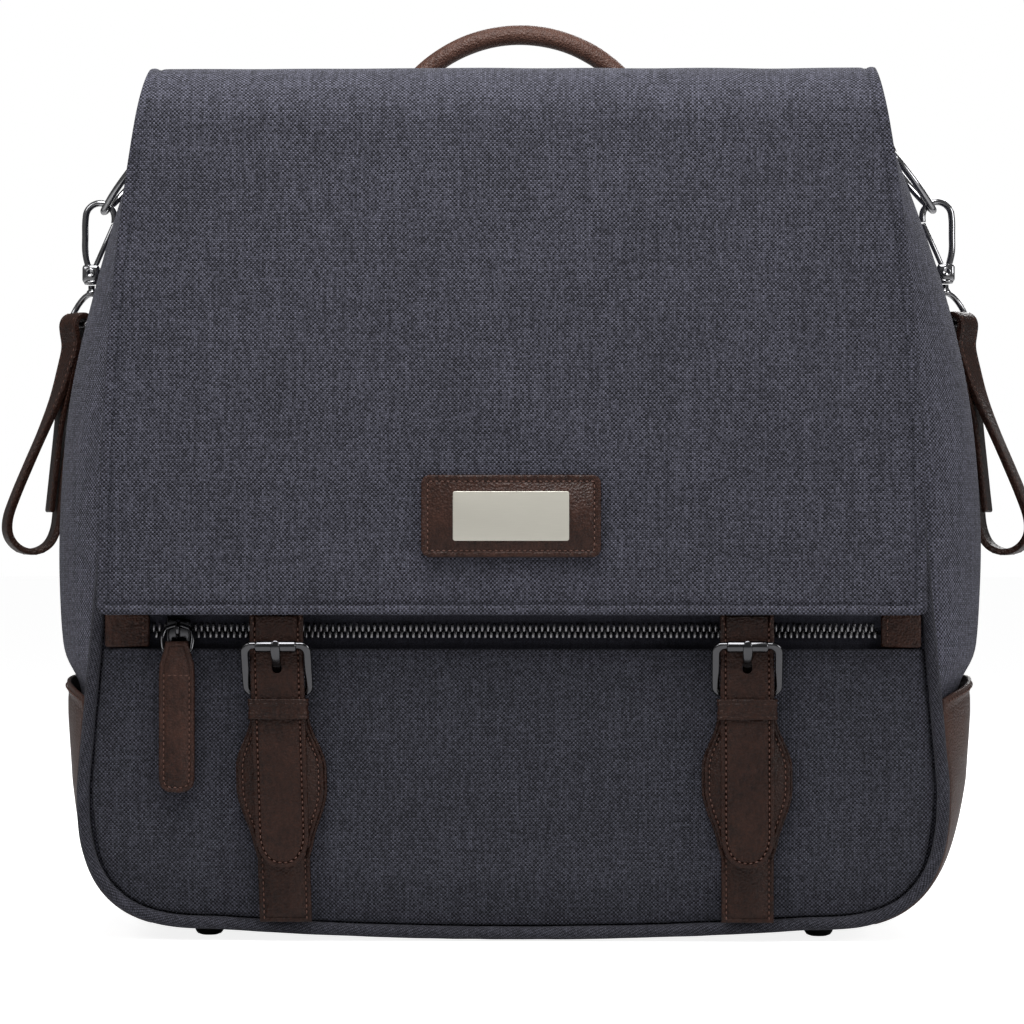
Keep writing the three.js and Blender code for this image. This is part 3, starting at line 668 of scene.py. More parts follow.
def buildPanels():
    panelSheet("frontWall", "front_panel", "cloth", 3.2, 337, -64.2, -64.6, -1, 2.4)
    # The pocket panel takes the darker weave, its painted shade under the flap.
    panelSheet("pocketPanel", "pocket_panel", "pocketClothPaintedShade", 5.2, 117.6, -66.6, -73.4, -1, 2.0, 20, 4)
    panelSheet("backPanel", "back_panel", "cloth", 3.2, 344, 80, 83.2, 1, 2.6, 18, 9)

    # The padded yoke under the flap, with its lower edge turned in above the zip.
    def yoke(s, v):
        z = mix(336.5, 133, v)
        x = s * (panelHalf(z) - 4.4)
        away = min(panelHalf(z) - 4.4 - abs(x), (z - 133) * 1.2 + 3, 337 - z + 2)
        rise = smooth(-1, 22, away) ** 0.6
        return (x, mix(-66.4, -75.5, rise) - 0.8 * wave(x, 0, z, 60, 7) * rise, z)

    bm = sheetMesh(steps(-1, 1, 56), steps(0, 1, 40), yoke, frontGrain, lambda p: (0, -1, 0))
    thicken(piece("upperFront", bm, "cloth", "bag", ["yoke_panel"]), 1.8, 1)
    row = [s * (panelHalf(114.4) - 8) for s in steps(-1, 1, 60)]
    row = [(x, -73.5 - 0.5 * wave(x, 0, 114.4, 55, 4), 114.4) for x in row]
    stitches("pocketTopstitch", [(row, False)], "cloth", "bag")
    row = [(x, 83.3 + 0.5 * wave(x, 0, 338, 55, 9), 338) for x in steps(-138, 138, 60)]
    stitches("backTopstitch", [(row, False)], "cloth", "bag")


# How far each side is drawn in, high up and by the pocket.
sideFit = {"left": (3.2, 5.8), "right": (0.0, 2.2)}


def buildSideWalls():
    for side, k in sides:
        def drawn(z, v):
            high, low = sideFit[side]
            fit = mix(high, low, smooth(130, 85, z)) * smooth(0, 45, z) * smooth(345, 250, z)
            return fit * (math.sin(math.pi * v) ** 0.5 if 0 < v < 1 else 0)

        def cloth(v, u):
            soft = math.sin(math.pi * v) ** 0.5 if 0 < v < 1 else 0
            _, zHere = edgeAt(u, 0, form["mouthZ"])
            x, z = edgeAt(u, behindPocket(zHere, soft), form["mouthZ"])
            y = mix(form["frontY"] - 0.4, form["backY"] + 0.3, v)
            x += sideBulge(z, y) - 0.25 - drawn(z, v) + soft * (0.7 * wave(0, y, z, 45, 11 + k) - 0.3)
            return (k * x, y, z)

        bm = sheetMesh(steps(0, 1, 40), steps(0, 1, 84), cloth, lambda v, u, p: (p.y, p.z),
                       lambda p: (k, 0, -0.2))
        # The side cloth takes the paler weave, whose extra brightness is painted sheen.
        thicken(piece("sideCloth" + side.title(), bm, "sideCloth", "bag", ["gusset_" + side]), 2.2, 1)

        def pocket(v, u):
            y = mix(form["frontY"] - 0.2, form["backY"] + 0.1, v)
            hollow = math.sin(math.pi * v) if 0 < v < 1 else 0
            top = 97 + 7 * hollow ** 0.7
            x, z = edgeAt(u, -1.2 + 0.4, top)
            drop = top - z
            seam, hem = math.exp(-((drop - 5.2) / 0.7) ** 2), math.exp(-((drop - 2) / 2) ** 2)
            x += sideBulge(z, y) - 0.45 * seam + 0.35 * hem
            x += hollow * (0.9 * wave(0, y, z, 38, 21 + k) - 1.4 * smooth(16, 0, drop)) - drawn(z, v)
            return (k * x, y, z)

        us = [0, 0.006, 0.014, 0.024, 0.03, 0.034, 0.038, 0.044, 0.055, 0.075, 0.1] + steps(0.13, 1, 44)
        bm = sheetMesh(steps(0, 1, 44), us, pocket, lambda v, u, p: (p.y, p.z), lambda p: (k, 0, -0.2))
        thicken(piece("sidePocket" + side.title(), bm, "pocketLeather", "bag", ["side_pocket_" + side]),
                1.7, 1)
        row = []
        for v in steps(0.02, 0.98, 60):
            a, b = Vector(pocket(v, 0.030)), Vector(pocket(v, 0.034))
            row.append(tuple((a + b) / 2 + Vector((k * 0.35, 0, 0))))
        stitches("sidePocketStitch" + side.title(), [(row, False)], "pocket", "bag")

    def base(s, v):
        x = s * 145
        y = mix(form["frontY"] - 0.2, form["backY"] + 0.1, v)
        return (x, y, bottomZ(x) + 0.2 + 1.7 * smooth(137, 142, abs(x)) + 0.4 * wave(x, y, 0, 50, 31))

    bm = sheetMesh(steps(-1, 1, 60), steps(0, 1, 30), base, lambda s, v, p: (p.x, p.y), lambda p: (0, 0, -1))
    thicken(piece("basePanel", bm, "pocketLeather", "bag", ["base_panel"]), 2.0, 1)


def tubeSheet(name, path, radius, finish, body, nodes, around=14, ribs=0.0):
    # A sewn tube of cloth along a path in one upright plane.
    points = [Vector(p) for p in path]
    dist = [0.0]
    for a, b in zip(points, points[1:]):
        dist.append(dist[-1] + (b - a).length)
    count = int(dist[-1] / 3.2)
    rows = []
    k = 0
    for i in range(count + 1):
        goal = dist[-1] * i / count
        while k < len(points) - 2 and dist[k + 1] < goal:
            k += 1
        t = (goal - dist[k]) / (dist[k + 1] - dist[k])
        rows.append((points[k].lerp(points[k + 1], t), goal))
    deep = Vector((0, 1, 0))

    def place(a, j):
        i = int(j)
        p, goal = rows[i]
        way = (rows[min(i + 1, count)][0] - rows[max(i - 1, 0)][0]).normalized()
        side = way.cross(deep).normalized()
        t = math.tau * a
        end = 0.75 if i in (0, count) else 1
        r = radius * end * (1 + ribs * wave(p.x, p.z, 0, 9, 3))
        return p + side * (r * math.cos(t)) + deep * (r * math.sin(t))

    bm = sheetMesh(steps(0, 1, around), list(range(count + 1)), place,
                   lambda a, j, p: (a * math.tau * radius + rows[int(j)][1] * 0.5, rows[int(j)][1]),
                   closeSeam=True)
    capEnds(bm)
    return thicken(piece(name, bm, finish, body, nodes), 0, 1)


def pipingPath(y, topZ):
    right = [(panelHalf(z) - 2.4, z) for z in steps(topZ, form["waistZ"], 30)]
    for i in range(1, 25):
        t = math.radians(90 * i / 24)
        e = 2 / form["cornerPower"]
        right.append((form["cornerX"] + (form["cornerA"] - 2.4) * math.cos(t) ** e,
                      form["waistZ"] - (form["cornerB"] - 2.4) * math.sin(t) ** e))
    right += [(x, bottomZ(x) + 2.4) for x in steps(110, 0, 11)]
    return [(x, y, z) for x, z in right] + [(-x, y, z) for x, z in reversed(right[:-1])]


def buildPiping():
    tubeSheet("frontPiping", pipingPath(-67.2, 330), 2.7, "pipingCloth", "bag", ["front_piping"], ribs=0.05)
    tubeSheet("backPiping", pipingPath(82.8, 338), 2.6, "pipingCloth", "bag", ["back_piping"], ribs=0.05)


# The flap.
flap = {"topZ": 350.6, "roll": 24, "faceY": -86.2, "hemZ": 131.2, "backY": 77.5, "topHalf": 145.6,
        "hemHalf": 165, "thick": 3.3}


def flapHalf(z):
    f = flap
    return f["hemHalf"] - (f["hemHalf"] - f["topHalf"]) * max(0, (z - 100) / (351 - 100)) ** 2.6


def buildFlap():
    f = flap
    rollY, rollZ = f["faceY"] + f["roll"], f["topZ"] - f["roll"]
    flatLong = f["backY"] - rollY
    arc = math.pi / 2 * f["roll"]
    total = flatLong + arc + rollZ - f["hemZ"]

    def profile(s):  # depth, height and outward way at s along the flap from its back edge
        if s < flatLong:
            return f["backY"] - s, f["topZ"], (0, 1)
        if s < flatLong + arc:
            t = (s - flatLong) / f["roll"]
            way = (-math.sin(t), math.cos(t))
            return rollY - f["roll"] * math.sin(t), rollZ + f["roll"] * math.cos(t), way
        return f["faceY"], rollZ - (s - flatLong - arc), (-1, 0)

    def place(a, s):
        y, z, way = profile(s)
        half = flapHalf(z) if s > flatLong else f["topHalf"]
        near = total - s
        corner = max(0, 3.5 - near)
        half -= 3.5 - math.sqrt(max(0, 3.5 ** 2 - corner ** 2)) if corner else 0
        x = a / 0.75 * (half - 40)
        if abs(a) > 0.75:
            x = math.copysign(1, a) * (half - (1 - abs(a)) * 160)
        inSide = half - abs(x)
        edge = min(inSide, near if s > 20 else 99)
        lift = 0.3 * math.exp(-((edge - 1.9) / 1.2) ** 2) - 0.75 * math.exp(-((edge - 4.3) / 0.8) ** 2)
        lift += 0.10 * math.sin((s if inSide < near else x) * 1.15) * math.exp(-abs(edge - 4.3) / 3)
        lift += (0.55 * wave(x, 0, s, 80, 1) * smooth(0, 60, edge)
                 + 0.35 * wave(x, 0, s, 30, 2) * smooth(5, 40, edge))
        hang = min(1, max(0, (s - flatLong - arc) / (rollZ - f["hemZ"])))
        lift += 1.1 * math.sin(math.pi * hang) * smooth(0, 90, inSide)
        return (x, y + way[0] * lift, z + way[1] * lift)

    sideSteps = [0, 0.9, 1.8, 2.8, 3.5, 3.95, 4.3, 4.65, 5.1, 6, 8, 12, 18, 26, 33]
    outer = [1 - d / 160 for d in sideSteps]
    aa = [-v for v in outer] + steps(-0.75, 0.75, 40) + outer[::-1]
    hemSteps = [0, 0.5, 1.2, 2, 2.8, 3.5, 3.95, 4.3, 4.65, 5.1, 6, 8, 11]
    ss = steps(0, flatLong, 22) + steps(flatLong, flatLong + arc, 14)[1:]
    ss += steps(flatLong + arc, total - 16, 40)[1:] + [total - h for h in hemSteps[::-1]]
    bm = sheetMesh(aa, ss, place, lambda a, s, p: (p.x, s), lambda p: (0, -1, 1))
    cloth = piece("flapCloth", bm, "cloth", None, ["flap_top", "flap_front"])
    thicken(cloth, f["thick"], 1)
    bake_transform(cloth)

    def seam(a, s, out=0.1):
        y, z, way = profile(s)
        x, yy, zz = place(a, s)
        return (x, yy + way[0] * out, zz + way[1] * out)

    sewn = 1 - 4.3 / 160
    bm = bmesh.new()
    for k in (-1, 1):
        stitchRow(bm, [seam(k * sewn, s) for s in steps(6, total - 4.3, 90)], 3.0, 2.2, 0.24)
    stitchRow(bm, [seam(a, total - 4.3) for a in [-sewn] + steps(-0.9, 0.9, 60) + [sewn]], 3.0, 2.2, 0.24)
    thread = piece("flapTopstitch", bm, "navyThread", None)
    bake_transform(thread)

    # The binding over the flap's back edge bends at the seam along the back panel's top.
    path = [(80.9, 327), (81.2, 338), (81.0, 346), (80.3, 350.3), (78.2, 352.3), (75, 352.6), (66, 352.4),
            (60, 352.0)]
    dist = [0.0]
    for a, b in zip(path, path[1:]):
        dist.append(dist[-1] + math.dist(a, b))

    def binding(a, s):
        for i in range(len(path) - 1):
            if s <= dist[i + 1] or i == len(path) - 2:
                t = (s - dist[i]) / (dist[i + 1] - dist[i])
                return (a * 145.2, mix(path[i][0], path[i + 1][0], t), mix(path[i][1], path[i + 1][1], t))

    bm = sheetMesh(steps(-1, 1, 50), steps(0, dist[-1], 22), binding, lambda a, s, p: (p.x, s),
                   lambda p: (0, 1, 1))
    strip = piece("flapBinding", bm, "cloth", None)
    thicken(strip, 1.0, 1)
    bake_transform(strip)
    print("flap made")


label = {"half": 35.6, "high": 16.3, "z": 170.6, "patchFace": -89.4, "plateHalf": 23, "plateHigh": 9.8}


def buildLabel():
    p = label
    outline = rounded(p["half"], p["high"], 3.4, 0, p["z"], 8)
    bm = slabMesh(outline, p["patchFace"], -86.3, 0.7, 2.6, depth=0.6)
    piece("namePatch", bm, "trimLeather", "flap_front", ["name_patch"])
    line = onFront(insetLine(outline, 2.6), p["patchFace"] + 0.12)
    stitches("namePatchStitch", [(line, True)], "trim", "flap_front")
    outline = rounded(p["plateHalf"], p["plateHigh"], 0.9, 0, p["z"])
    bm = slabMesh(outline, p["patchFace"] - 1.3, p["patchFace"] + 0.2, 0.25)
    piece("blankPlate", bm, "plate", "flap_front", ["name_plate"])


buildPanels()
buildSideWalls()
buildPiping()
print("cloth panels made")
buildFlap()
buildLabel()

# The closure straps and buckles.
closure = {"x": 93.6, "front": -82.2, "back": -79.6, "half": 10.7, "tipZ": 30.5, "topZ": 133.2}
closureLean = {"left": 0.030, "right": 0.004}
leafShape = {"topZ": 97.0, "endZ": 38.5, "wideZ": 66, "wideHalf": 17.0, "neckHalf": 10.6}


def leafHalf(z, more):
    s = leafShape
    above = smooth(s["topZ"] - 6, s["wideZ"] + 4, z)
    below = smooth(s["endZ"] - 2, s["wideZ"] - 4, z)
    return mix(s["neckHalf"], s["wideHalf"], min(above, below)) + more


def tailBend(x, z):  # the strap lies closer to the bag towards its tip
    return 0.9 * smooth(70, 32, z) - 0.5 * math.exp(-((z - 80) / 12) ** 2)


def buildClosure(side, k):
    c = closure
    x0 = k * c["x"]
    body = "closure_" + side
    tag = side.title()
    tip = [(c["half"], z) for z in steps(c["topZ"], 44, 12)]
    tip += [(c["half"] * math.cos(t) ** 0.85, 44 - (44 - c["tipZ"]) * math.sin(t))
            for t in steps(0.12, 1.5, 9)]
    tip += [(0.6, c["tipZ"])]
    outline = moved(mirrored(tip), x0)
    rows = steps(36, 119, 20) + steps(121, 132, 9)
    bm = slabMesh(outline, c["front"] - 0.1, c["back"], 0.7, 2.1, rows, tailBend)
    strap = piece("closureStrap" + tag, bm, "leather", None, ["closure_strap_" + side])
    cutter = slabMesh(rounded(2.0, 2.6, 1.95, x0, 110.6), -90, -70, 0)
    knife = bpy.data.objects.new("holeCutter", bpy.data.meshes.new("holeCutter"))
    cutter.to_mesh(knife.data)
    cutter.free()
    knife.data.shade_smooth()
    bpy.context.scene.collection.objects.link(knife)
    hole = strap.modifiers.new("holes", "BOOLEAN")
    hole.operation = "DIFFERENCE"
    hole.solver = "EXACT"
    hole.object = knife
    bpy.context.view_layer.update()
    done = bpy.data.meshes.new_from_object(strap.evaluated_get(bpy.context.evaluated_depsgraph_get()))
    strap.modifiers.clear()
    strap.data = done
    done.set_sharp_from_angle(angle=math.radians(55))
    bpy.data.objects.remove(knife)
    line = insetLine(outline, 2.1)
    kept = [p for p in line if p[1] < c["topZ"] - 1]
    stitches("closureStitch" + tag, [(onFront(kept, c["front"] + 0.02, tailBend), False)], "trim", None)

    edge = [(leafHalf(z, 0), z) for z in steps(leafShape["topZ"], leafShape["endZ"], 26)]
    outline = moved(mirrored(edge), x0)
    bm = slabMesh(outline, -79.3, -77.0, 0.6, 1.9)
    piece("leafTab" + tag, bm, "leather", body, ["leaf_tab_" + side])
    seams = [([(x0 + s * (leafHalf(z, 0) - 1.9), -79.2, z) for z in steps(94, 39, 24)], False)
             for s in (-1, 1)]
    stitches("leafStitch" + tag, seams, "trim", body)

    def lean(x, z):
        return 0.9 * smooth(34, 8, z)

    edge = [(leafHalf(z, 1.1), z) for z in steps(92, leafShape["endZ"] + 1, 24)]
    outline = moved(mirrored(edge + [(10.4, z) for z in steps(34, 8.4, 6)]), x0)
    bm = slabMesh(outline, -76.2, -73.6, 0.6, 1.9, steps(12, 88, 14), lean)
    piece("lowerStrap" + tag, bm, "leather", "bag", ["lower_strap_" + side])
    seams = [([(x0 + s * ((leafHalf(z, 1.1) if z > 38 else 10.4) - 1.9), -76.1 + lean(0, z), z)
               for z in steps(90, 9, 32)], False) for s in (-1, 1)]
    stitches("lowerStitch" + tag, seams, "trim", "bag")
    bm = bmesh.new()
    profile = [(0, 0), (6.6, 0), (7, 0.4), (7, 1.2), (4.2, 1.6), (4.2, 2.2), (0, 2.2)]
    lathe(bm, profile, (x0, -76.1, 66), (0, 1, 0))
    piece("snapStud" + tag, bm, "nickel", "bag", ["snap_stud_" + side])

    # The keeper is a band round both straps, creased near its two edges.
    arc = [math.pi / 2 * i / 4 for i in range(5)]
    corners = ((1, -1, arc), (-1, -1, arc[::-1]), (-1, 1, arc), (1, 1, arc[::-1]))
    ring = [(x0 + sx * 12.1 - sx * 1.6 * (1 - math.cos(t)), -79.5 + sy * 4.5 - sy * 1.6 * (1 - math.sin(t)))
            for sx, sy, turns in corners for t in turns]
    zs = [(89.6, 0.4), (90.0, 0), (90.9, 0), (91.3, 0.5), (91.7, 0), (92.3, 0), (92.7, 0.45), (95.0, 0.45),
          (95.4, 0), (96.0, 0), (96.4, 0.5), (96.8, 0), (97.6, 0), (98.0, 0.4)]
    mid = Vector((x0, -79.5, 0))

    def band(a, j):
        x, y = ring[int(a) % len(ring)]
        z, dip = zs[int(j)]
        away = (Vector((x, y, 0)) - mid).normalized()
        return (x - away.x * dip, y - away.y * dip, z)

    bm = sheetMesh(list(range(len(ring) + 1)), list(range(len(zs))), band,
                   lambda a, j, p: (a * 2.5, zs[int(j)][0]), closeSeam=True)
    thicken(piece("strapKeeper" + tag, bm, "leather", body, ["strap_keeper_" + side]), 1.2, 1)
    buildBuckle(side, x0)


buckle = {"prongY": -77.6, "prongZ": 100, "rollY": -85, "rollZ": 118.8}


def buildBuckle(side, x0):
    b = buckle
    tag = side.title()
    rise = math.hypot(b["rollY"] - b["prongY"], b["rollZ"] - b["prongZ"])
    lean = math.atan2(b["prongY"] - b["rollY"], b["rollZ"] - b["prongZ"])
    turn = Matrix.Translation((x0 * mm, b["prongY"] * mm, b["prongZ"] * mm)) @ Matrix.Rotation(lean, 4, "X")
    outer = rounded(14.2, (rise + 3.1) / 2, 4.2, 0, (rise + 0.9) / 2, 7)
    inner = rounded(10.9, (rise - 3.2) / 2 + 0.7, 2.6, 0, rise / 2, 7)
    section = [(0, 0.5), (0.06, 0.2), (0.25, 0), (0.75, 0), (0.94, 0.2),
               (1, 0.5), (0.94, 0.8), (0.75, 1), (0.25, 1), (0.06, 0.8)]

    def rim(a, j):
        (xo, zo), (xi, zi) = outer[a % len(outer)], inner[a % len(inner)]
        s, t = section[j % len(section)]
        return (mix(xo, xi, s), mix(-1.35, 1.35, t), mix(zo, zi, s))

    bm = sheetMesh(list(range(len(outer) + 1)), list(range(len(section) + 1)), rim,
                   lambda a, j, p: (a, j), closeSeam=True)
    bmesh.ops.transform(bm, matrix=turn, verts=bm.verts)
    thicken(piece("buckleFrame" + tag, bm, "gunmetal", "closure_" + side, ["buckle_frame_" + side]), 0, 1)
    bm = bmesh.new()
    profile = [(1.45, -8.0), (1.9, -8.15), (2.25, -7.9), (2.35, -7.4), (2.3, 0),
               (2.35, 7.4), (2.25, 7.9), (1.9, 8.15), (1.45, 8.0), (1.45, -8.0)]
    lathe(bm, profile, (x0, b["rollY"], b["rollZ"]), (1, 0, 0), 28)
    piece("buckleRoller" + tag, bm, "gunmetal", "roller_" + side, ["buckle_roller_" + side])
    path = [(x0, y, z) for y, z in ((-77.6, 98), (-78.5, 101), (-78.7, 107.3), (-81, 110.2),
                                    (-85, 113.4), (-87.9, 116.4), (-88.8, 119), (-88.3, 121.4))]

    def prong(a, j):
        i = int(j)
        p = Vector(path[i])
        way = (Vector(path[min(i + 1, len(path) - 1)]) - Vector(path[max(i - 1, 0)])).normalized()
        up = way.cross(Vector((1, 0, 0))).normalized()
        t = math.tau * a
        slim = (0.5, 1, 1, 1, 1, 0.95, 0.85, 0.3)[i]
        wide = (1.2, 1.8, 1.8, 1.8, 1.9, 1.95, 1.8, 1.4)[i]
        px = math.copysign(abs(math.cos(t)) ** 0.5, math.cos(t)) * wide
        return p + Vector((px, 0, 0)) + up * (math.sin(t) * 0.85 * slim)

    bm = sheetMesh(steps(0, 1, 16), list(range(len(path))), prong, lambda a, j, p: (p.x, p.z), closeSeam=True)
    capEnds(bm)
    thicken(piece("buckleProng" + tag, bm, "gunmetal", "prong_" + side, ["buckle_prong_" + side]), 0, 2)


for side, k in sides:
    before = set(bpy.data.objects)
    buildClosure(side, k)
    for obj in set(bpy.data.objects) - before:  # the left-hand strap hangs a little aslant
        for v in obj.data.vertices:
            v.co.x += closureLean[side] * max(0, 0.118 - v.co.z)
    for name in ("closureStrap", "closureStitch"):  # the strap stays behind the hem and bends just under it
        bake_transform(bpy.data.objects[name + side.title()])
print("closures made")

# The front pocket's zip.
zipper = {"z": 124.6, "left": -145, "right": 147, "y": -67.2, "pitch": 2.4, "sliderX": -133.8}


def toothMesh(bm, x, y, z, up, along=(1, 0, 0), outward=(0, -1, 0)):
    # One metal tooth: a waist clamped on the tape and a head that reaches past the middle.
    along, outward = Vector(along), Vector(outward)
    rise = outward.cross(along) * up
    frameOf = Matrix((along, outward, rise)).transposed().to_4x4()
    place = Matrix.Translation(Vector((x, y, z)) * mm) @ frameOf
    size = Matrix.Diagonal((1.25 * mm, 1.9 * mm, 3.5 * mm, 1))
    made = bmesh.ops.create_cube(bm, size=1, matrix=place @ Matrix.Translation((0, 0, 1.35 * mm)) @ size)
    for v in made["verts"]:
        local = place.inverted() @ v.co
        if local.z < 0:
            local.x *= 0.72
            local.y *= 0.8
            v.co = place @ local
    bevel(bm, {e for v in made["verts"] for e in v.link_edges}, 0.22, 1)


def buildZip():
    q = zipper
    bm = bmesh.new()
    count = int((q["right"] - q["left"]) / q["pitch"])
    for i in range(count):
        x = q["left"] + 1 + i * q["pitch"]
        toothMesh(bm, x, q["y"], q["z"] - 0.1, 1)
        toothMesh(bm, x + q["pitch"] / 2, q["y"], q["z"] + 0.1, -1)
    piece("pocketZipTeeth", bm, "tooth", "bag", ["pocket_zip_teeth"])
    for name, low, high in (("pocketTapeLower", 113.0, 123.4), ("pocketTapeUpper", 125.8, 137)):
        def tape(s, v):
            return (mix(-163, 163, s), -66.4 - 0.15 * wave(mix(-163, 163, s), 0, low, 30, 5),
                    mix(low, high, v))

        bm = sheetMesh(steps(0, 1, 80), steps(0, 1, 6), tape, frontGrain, lambda p: (0, -1, 0))
        strip = piece(name, bm, "tape", "bag")
        thicken(strip, 0.7, 0)
    for side, x0, x1 in (("left", -163.4, -145.6), ("right", 147.6, 163.4)):
        outline = rounded((x1 - x0) / 2, 6.6, 1.0, (x0 + x1) / 2, 124.6, 3)
        bm = slabMesh(outline, -70.2, -66.9, 0.7, 0, steps(119, 130, 4),
                      lambda x, z: 0.25 * wave(x, 0, z, 6, 3))
        piece("zipEndTab" + side.title(), bm, "trimLeather", "bag", ["zip_end_tab_" + side])
        sewX = x1 - 2.4 if side == "left" else x0 + 2.4
        row = [(sewX, -70.15, z) for z in (119.2, 124.6, 130)]
        stitches("zipEndStitch" + side.title(), [(row, False)], "anchor", "bag")
    sx = q["sliderX"]
    bm = bmesh.new()
    blockMesh(bm, (sx - 4.6, -70.6, 119.9), (sx + 4.6, -69.4, 129.3), 0.5)
    blockMesh(bm, (sx - 4.6, -70.4, 119.7), (sx + 4.6, -66.9, 121.0), 0.35)
    blockMesh(bm, (sx - 4.6, -70.4, 128.2), (sx + 4.6, -66.9, 129.5), 0.35)
    for v in bm.verts:  # the slider narrows towards its back end
        v.co.z = (q["z"] + (v.co.z / mm - q["z"]) * (1 - 0.035 * (v.co.x / mm - sx - 1))) * mm
    bail = ((-70.3, 121.8), (-72.6, 122.2), (-74.2, 124), (-74.3, 126.6), (-72.8, 128.2), (-70.3, 128.6))
    absorb(bm, wireMesh([(sx, y, z) for y, z in bail], 0.85))
    piece("zipSlider", bm, "gunmetal", "pocket_slider", ["pocket_zip_slider"])
    loop = [(sx - 4.4, -72.6, 125.7), (sx + 4.4, -72.6, 125.7), (sx + 5.5, -73.2, 124.4),
            (sx + 5.9, -75.0, 119.2), (sx + 4.8, -76.1, 116.6), (sx - 4.8, -76.1, 116.6),
            (sx - 5.9, -75.0, 119.2), (sx - 5.5, -73.2, 124.4)]
    piece("pullerLink", wireMesh(loop, 0.95, True), "gunmetal", "puller", ["pocket_puller_link"])
    right = [(4.4, 120.6), (5.2, 117), (6.8, 111.5), (7.1, 107)] + [(7.1, z) for z in steps(103, 72, 6)]
    right += [(7.1 * math.cos(t) ** 0.7, 67.2 - 7.0 * math.sin(t) ** 0.7) for t in steps(0.06, 1.5, 11)]
    outline = moved(mirrored(right), sx)

    def sway(x, z):
        return -0.5 * smooth(118, 62, z) + 0.18 * wave(x, 0, z, 14, 8)

    bm = slabMesh(outline, -78.0, -74.6, 0.9, 2.0, steps(66, 118, 12), sway)
    piece("zipPuller", bm, "trimLeather", "puller", ["pocket_puller"])
    line = [p for p in insetLine(outline, 2.0) if p[1] < 110.6]
    stitches("zipPullerStitch", [(onFront(line, -77.85, sway), True)], "trim", "puller")


buildZip()
print("zip made")

# Handle, feet and side hardware.
handleShape = {"r": 62, "z": 319.5, "y": 85.3, "tube": 4.2, "fromDeg": 12}


def buildHandle():
    h = handleShape
    path = []
    for a in steps(h["fromDeg"] - 1, 181 - h["fromDeg"], 48):
        t = math.radians(a)
        path.append(Vector((h["r"] * math.cos(t), h["y"], h["z"] + h["r"] * math.sin(t))))

    def place(a, j):
        i = int(j)
        way = (path[min(i + 1, len(path) - 1)] - path[max(i - 1, 0)]).normalized()
        side = way.cross(Vector((0, 1, 0))).normalized()
        t = math.tau * a
        end = min(i, len(path) - 1 - i)
        r = h["tube"] * (0.82 + 0.18 * smooth(0, 6, end)) * (1 + 0.02 * wave(path[i].x, 0, path[i].z, 9, 6))
        pinch = 1 + 0.07 * math.exp(-((math.cos(t) + 1) / 0.08) ** 2)
        return path[i] + side * (r * pinch * math.cos(t)) + Vector((0, r * pinch * math.sin(t), 0))

    bm = sheetMesh(steps(0, 1, 28), list(range(len(path))), place, lambda a, j, p: (p.x, p.z), closeSeam=True)
    capEnds(bm)
    thicken(piece("carryHandle", bm, "handleLeather", "handle", ["handle"]), 0, 1)
    for side, k in sides:
        x0 = k * h["r"] * math.cos(math.radians(h["fromDeg"]))
        right = [(4.5, 333.6), (6.6, 331), (8.2, 326), (10.8, 318), (11, 312)]
        right += [(11, z) for z in steps(308, 299, 3)] + [(10, 296.4), (7, 295.4)]
        outline = moved(mirrored(right), x0)
        bm = slabMesh(outline, -85.3, -82.9, 0.7, 2.0)
        for v in bm.verts:  # turned to face the back
            v.co.y = -v.co.y
        bmesh.ops.recalc_face_normals(bm, faces=bm.faces)
        knuckle = bmesh.new()
        rodMesh(knuckle, (x0 - 5.6, 85.3, 331.6), (x0 + 5.6, 85.3, 331.6), 4.5, 24, 0.9)
        absorb(bm, knuckle)
        piece("handleAnchor" + side.title(), bm, "leather", "bag", ["handle_anchor_" + side])
        line = [(x, 85.2, z) for x, z in insetLine(outline, 2.0)]
        stitches("handleAnchorStitch" + side.title(), [(line, True)], "anchor", "bag")


def buildFeet():
    profile = [(0, 0), (3.2, 0.02), (4.8, 0.6), (5.7, 1.8), (6, 3.2), (5.9, 4.6), (4, 5.2), (0, 5.3)]
    for end, y in (("front", -42), ("back", 58)):
        for side, k in sides:
            bm = bmesh.new()
            lathe(bm, profile, (k * 124, y, 0), (0, 0, 1))
            piece("foot" + end.title() + side.title(), bm, "foot", "bag", ["foot_" + end + "_" + side])


clip = {"y": 38, "pin": (158.6, 324.4), "foot": (177.2, 300.8), "hookX": 178.8, "hookZ": 298.2,
        "hookR": 6.2, "baseX": 182.4, "turn": 17, "eyeTurn": 34, "barP": 7, "barZ": 252}


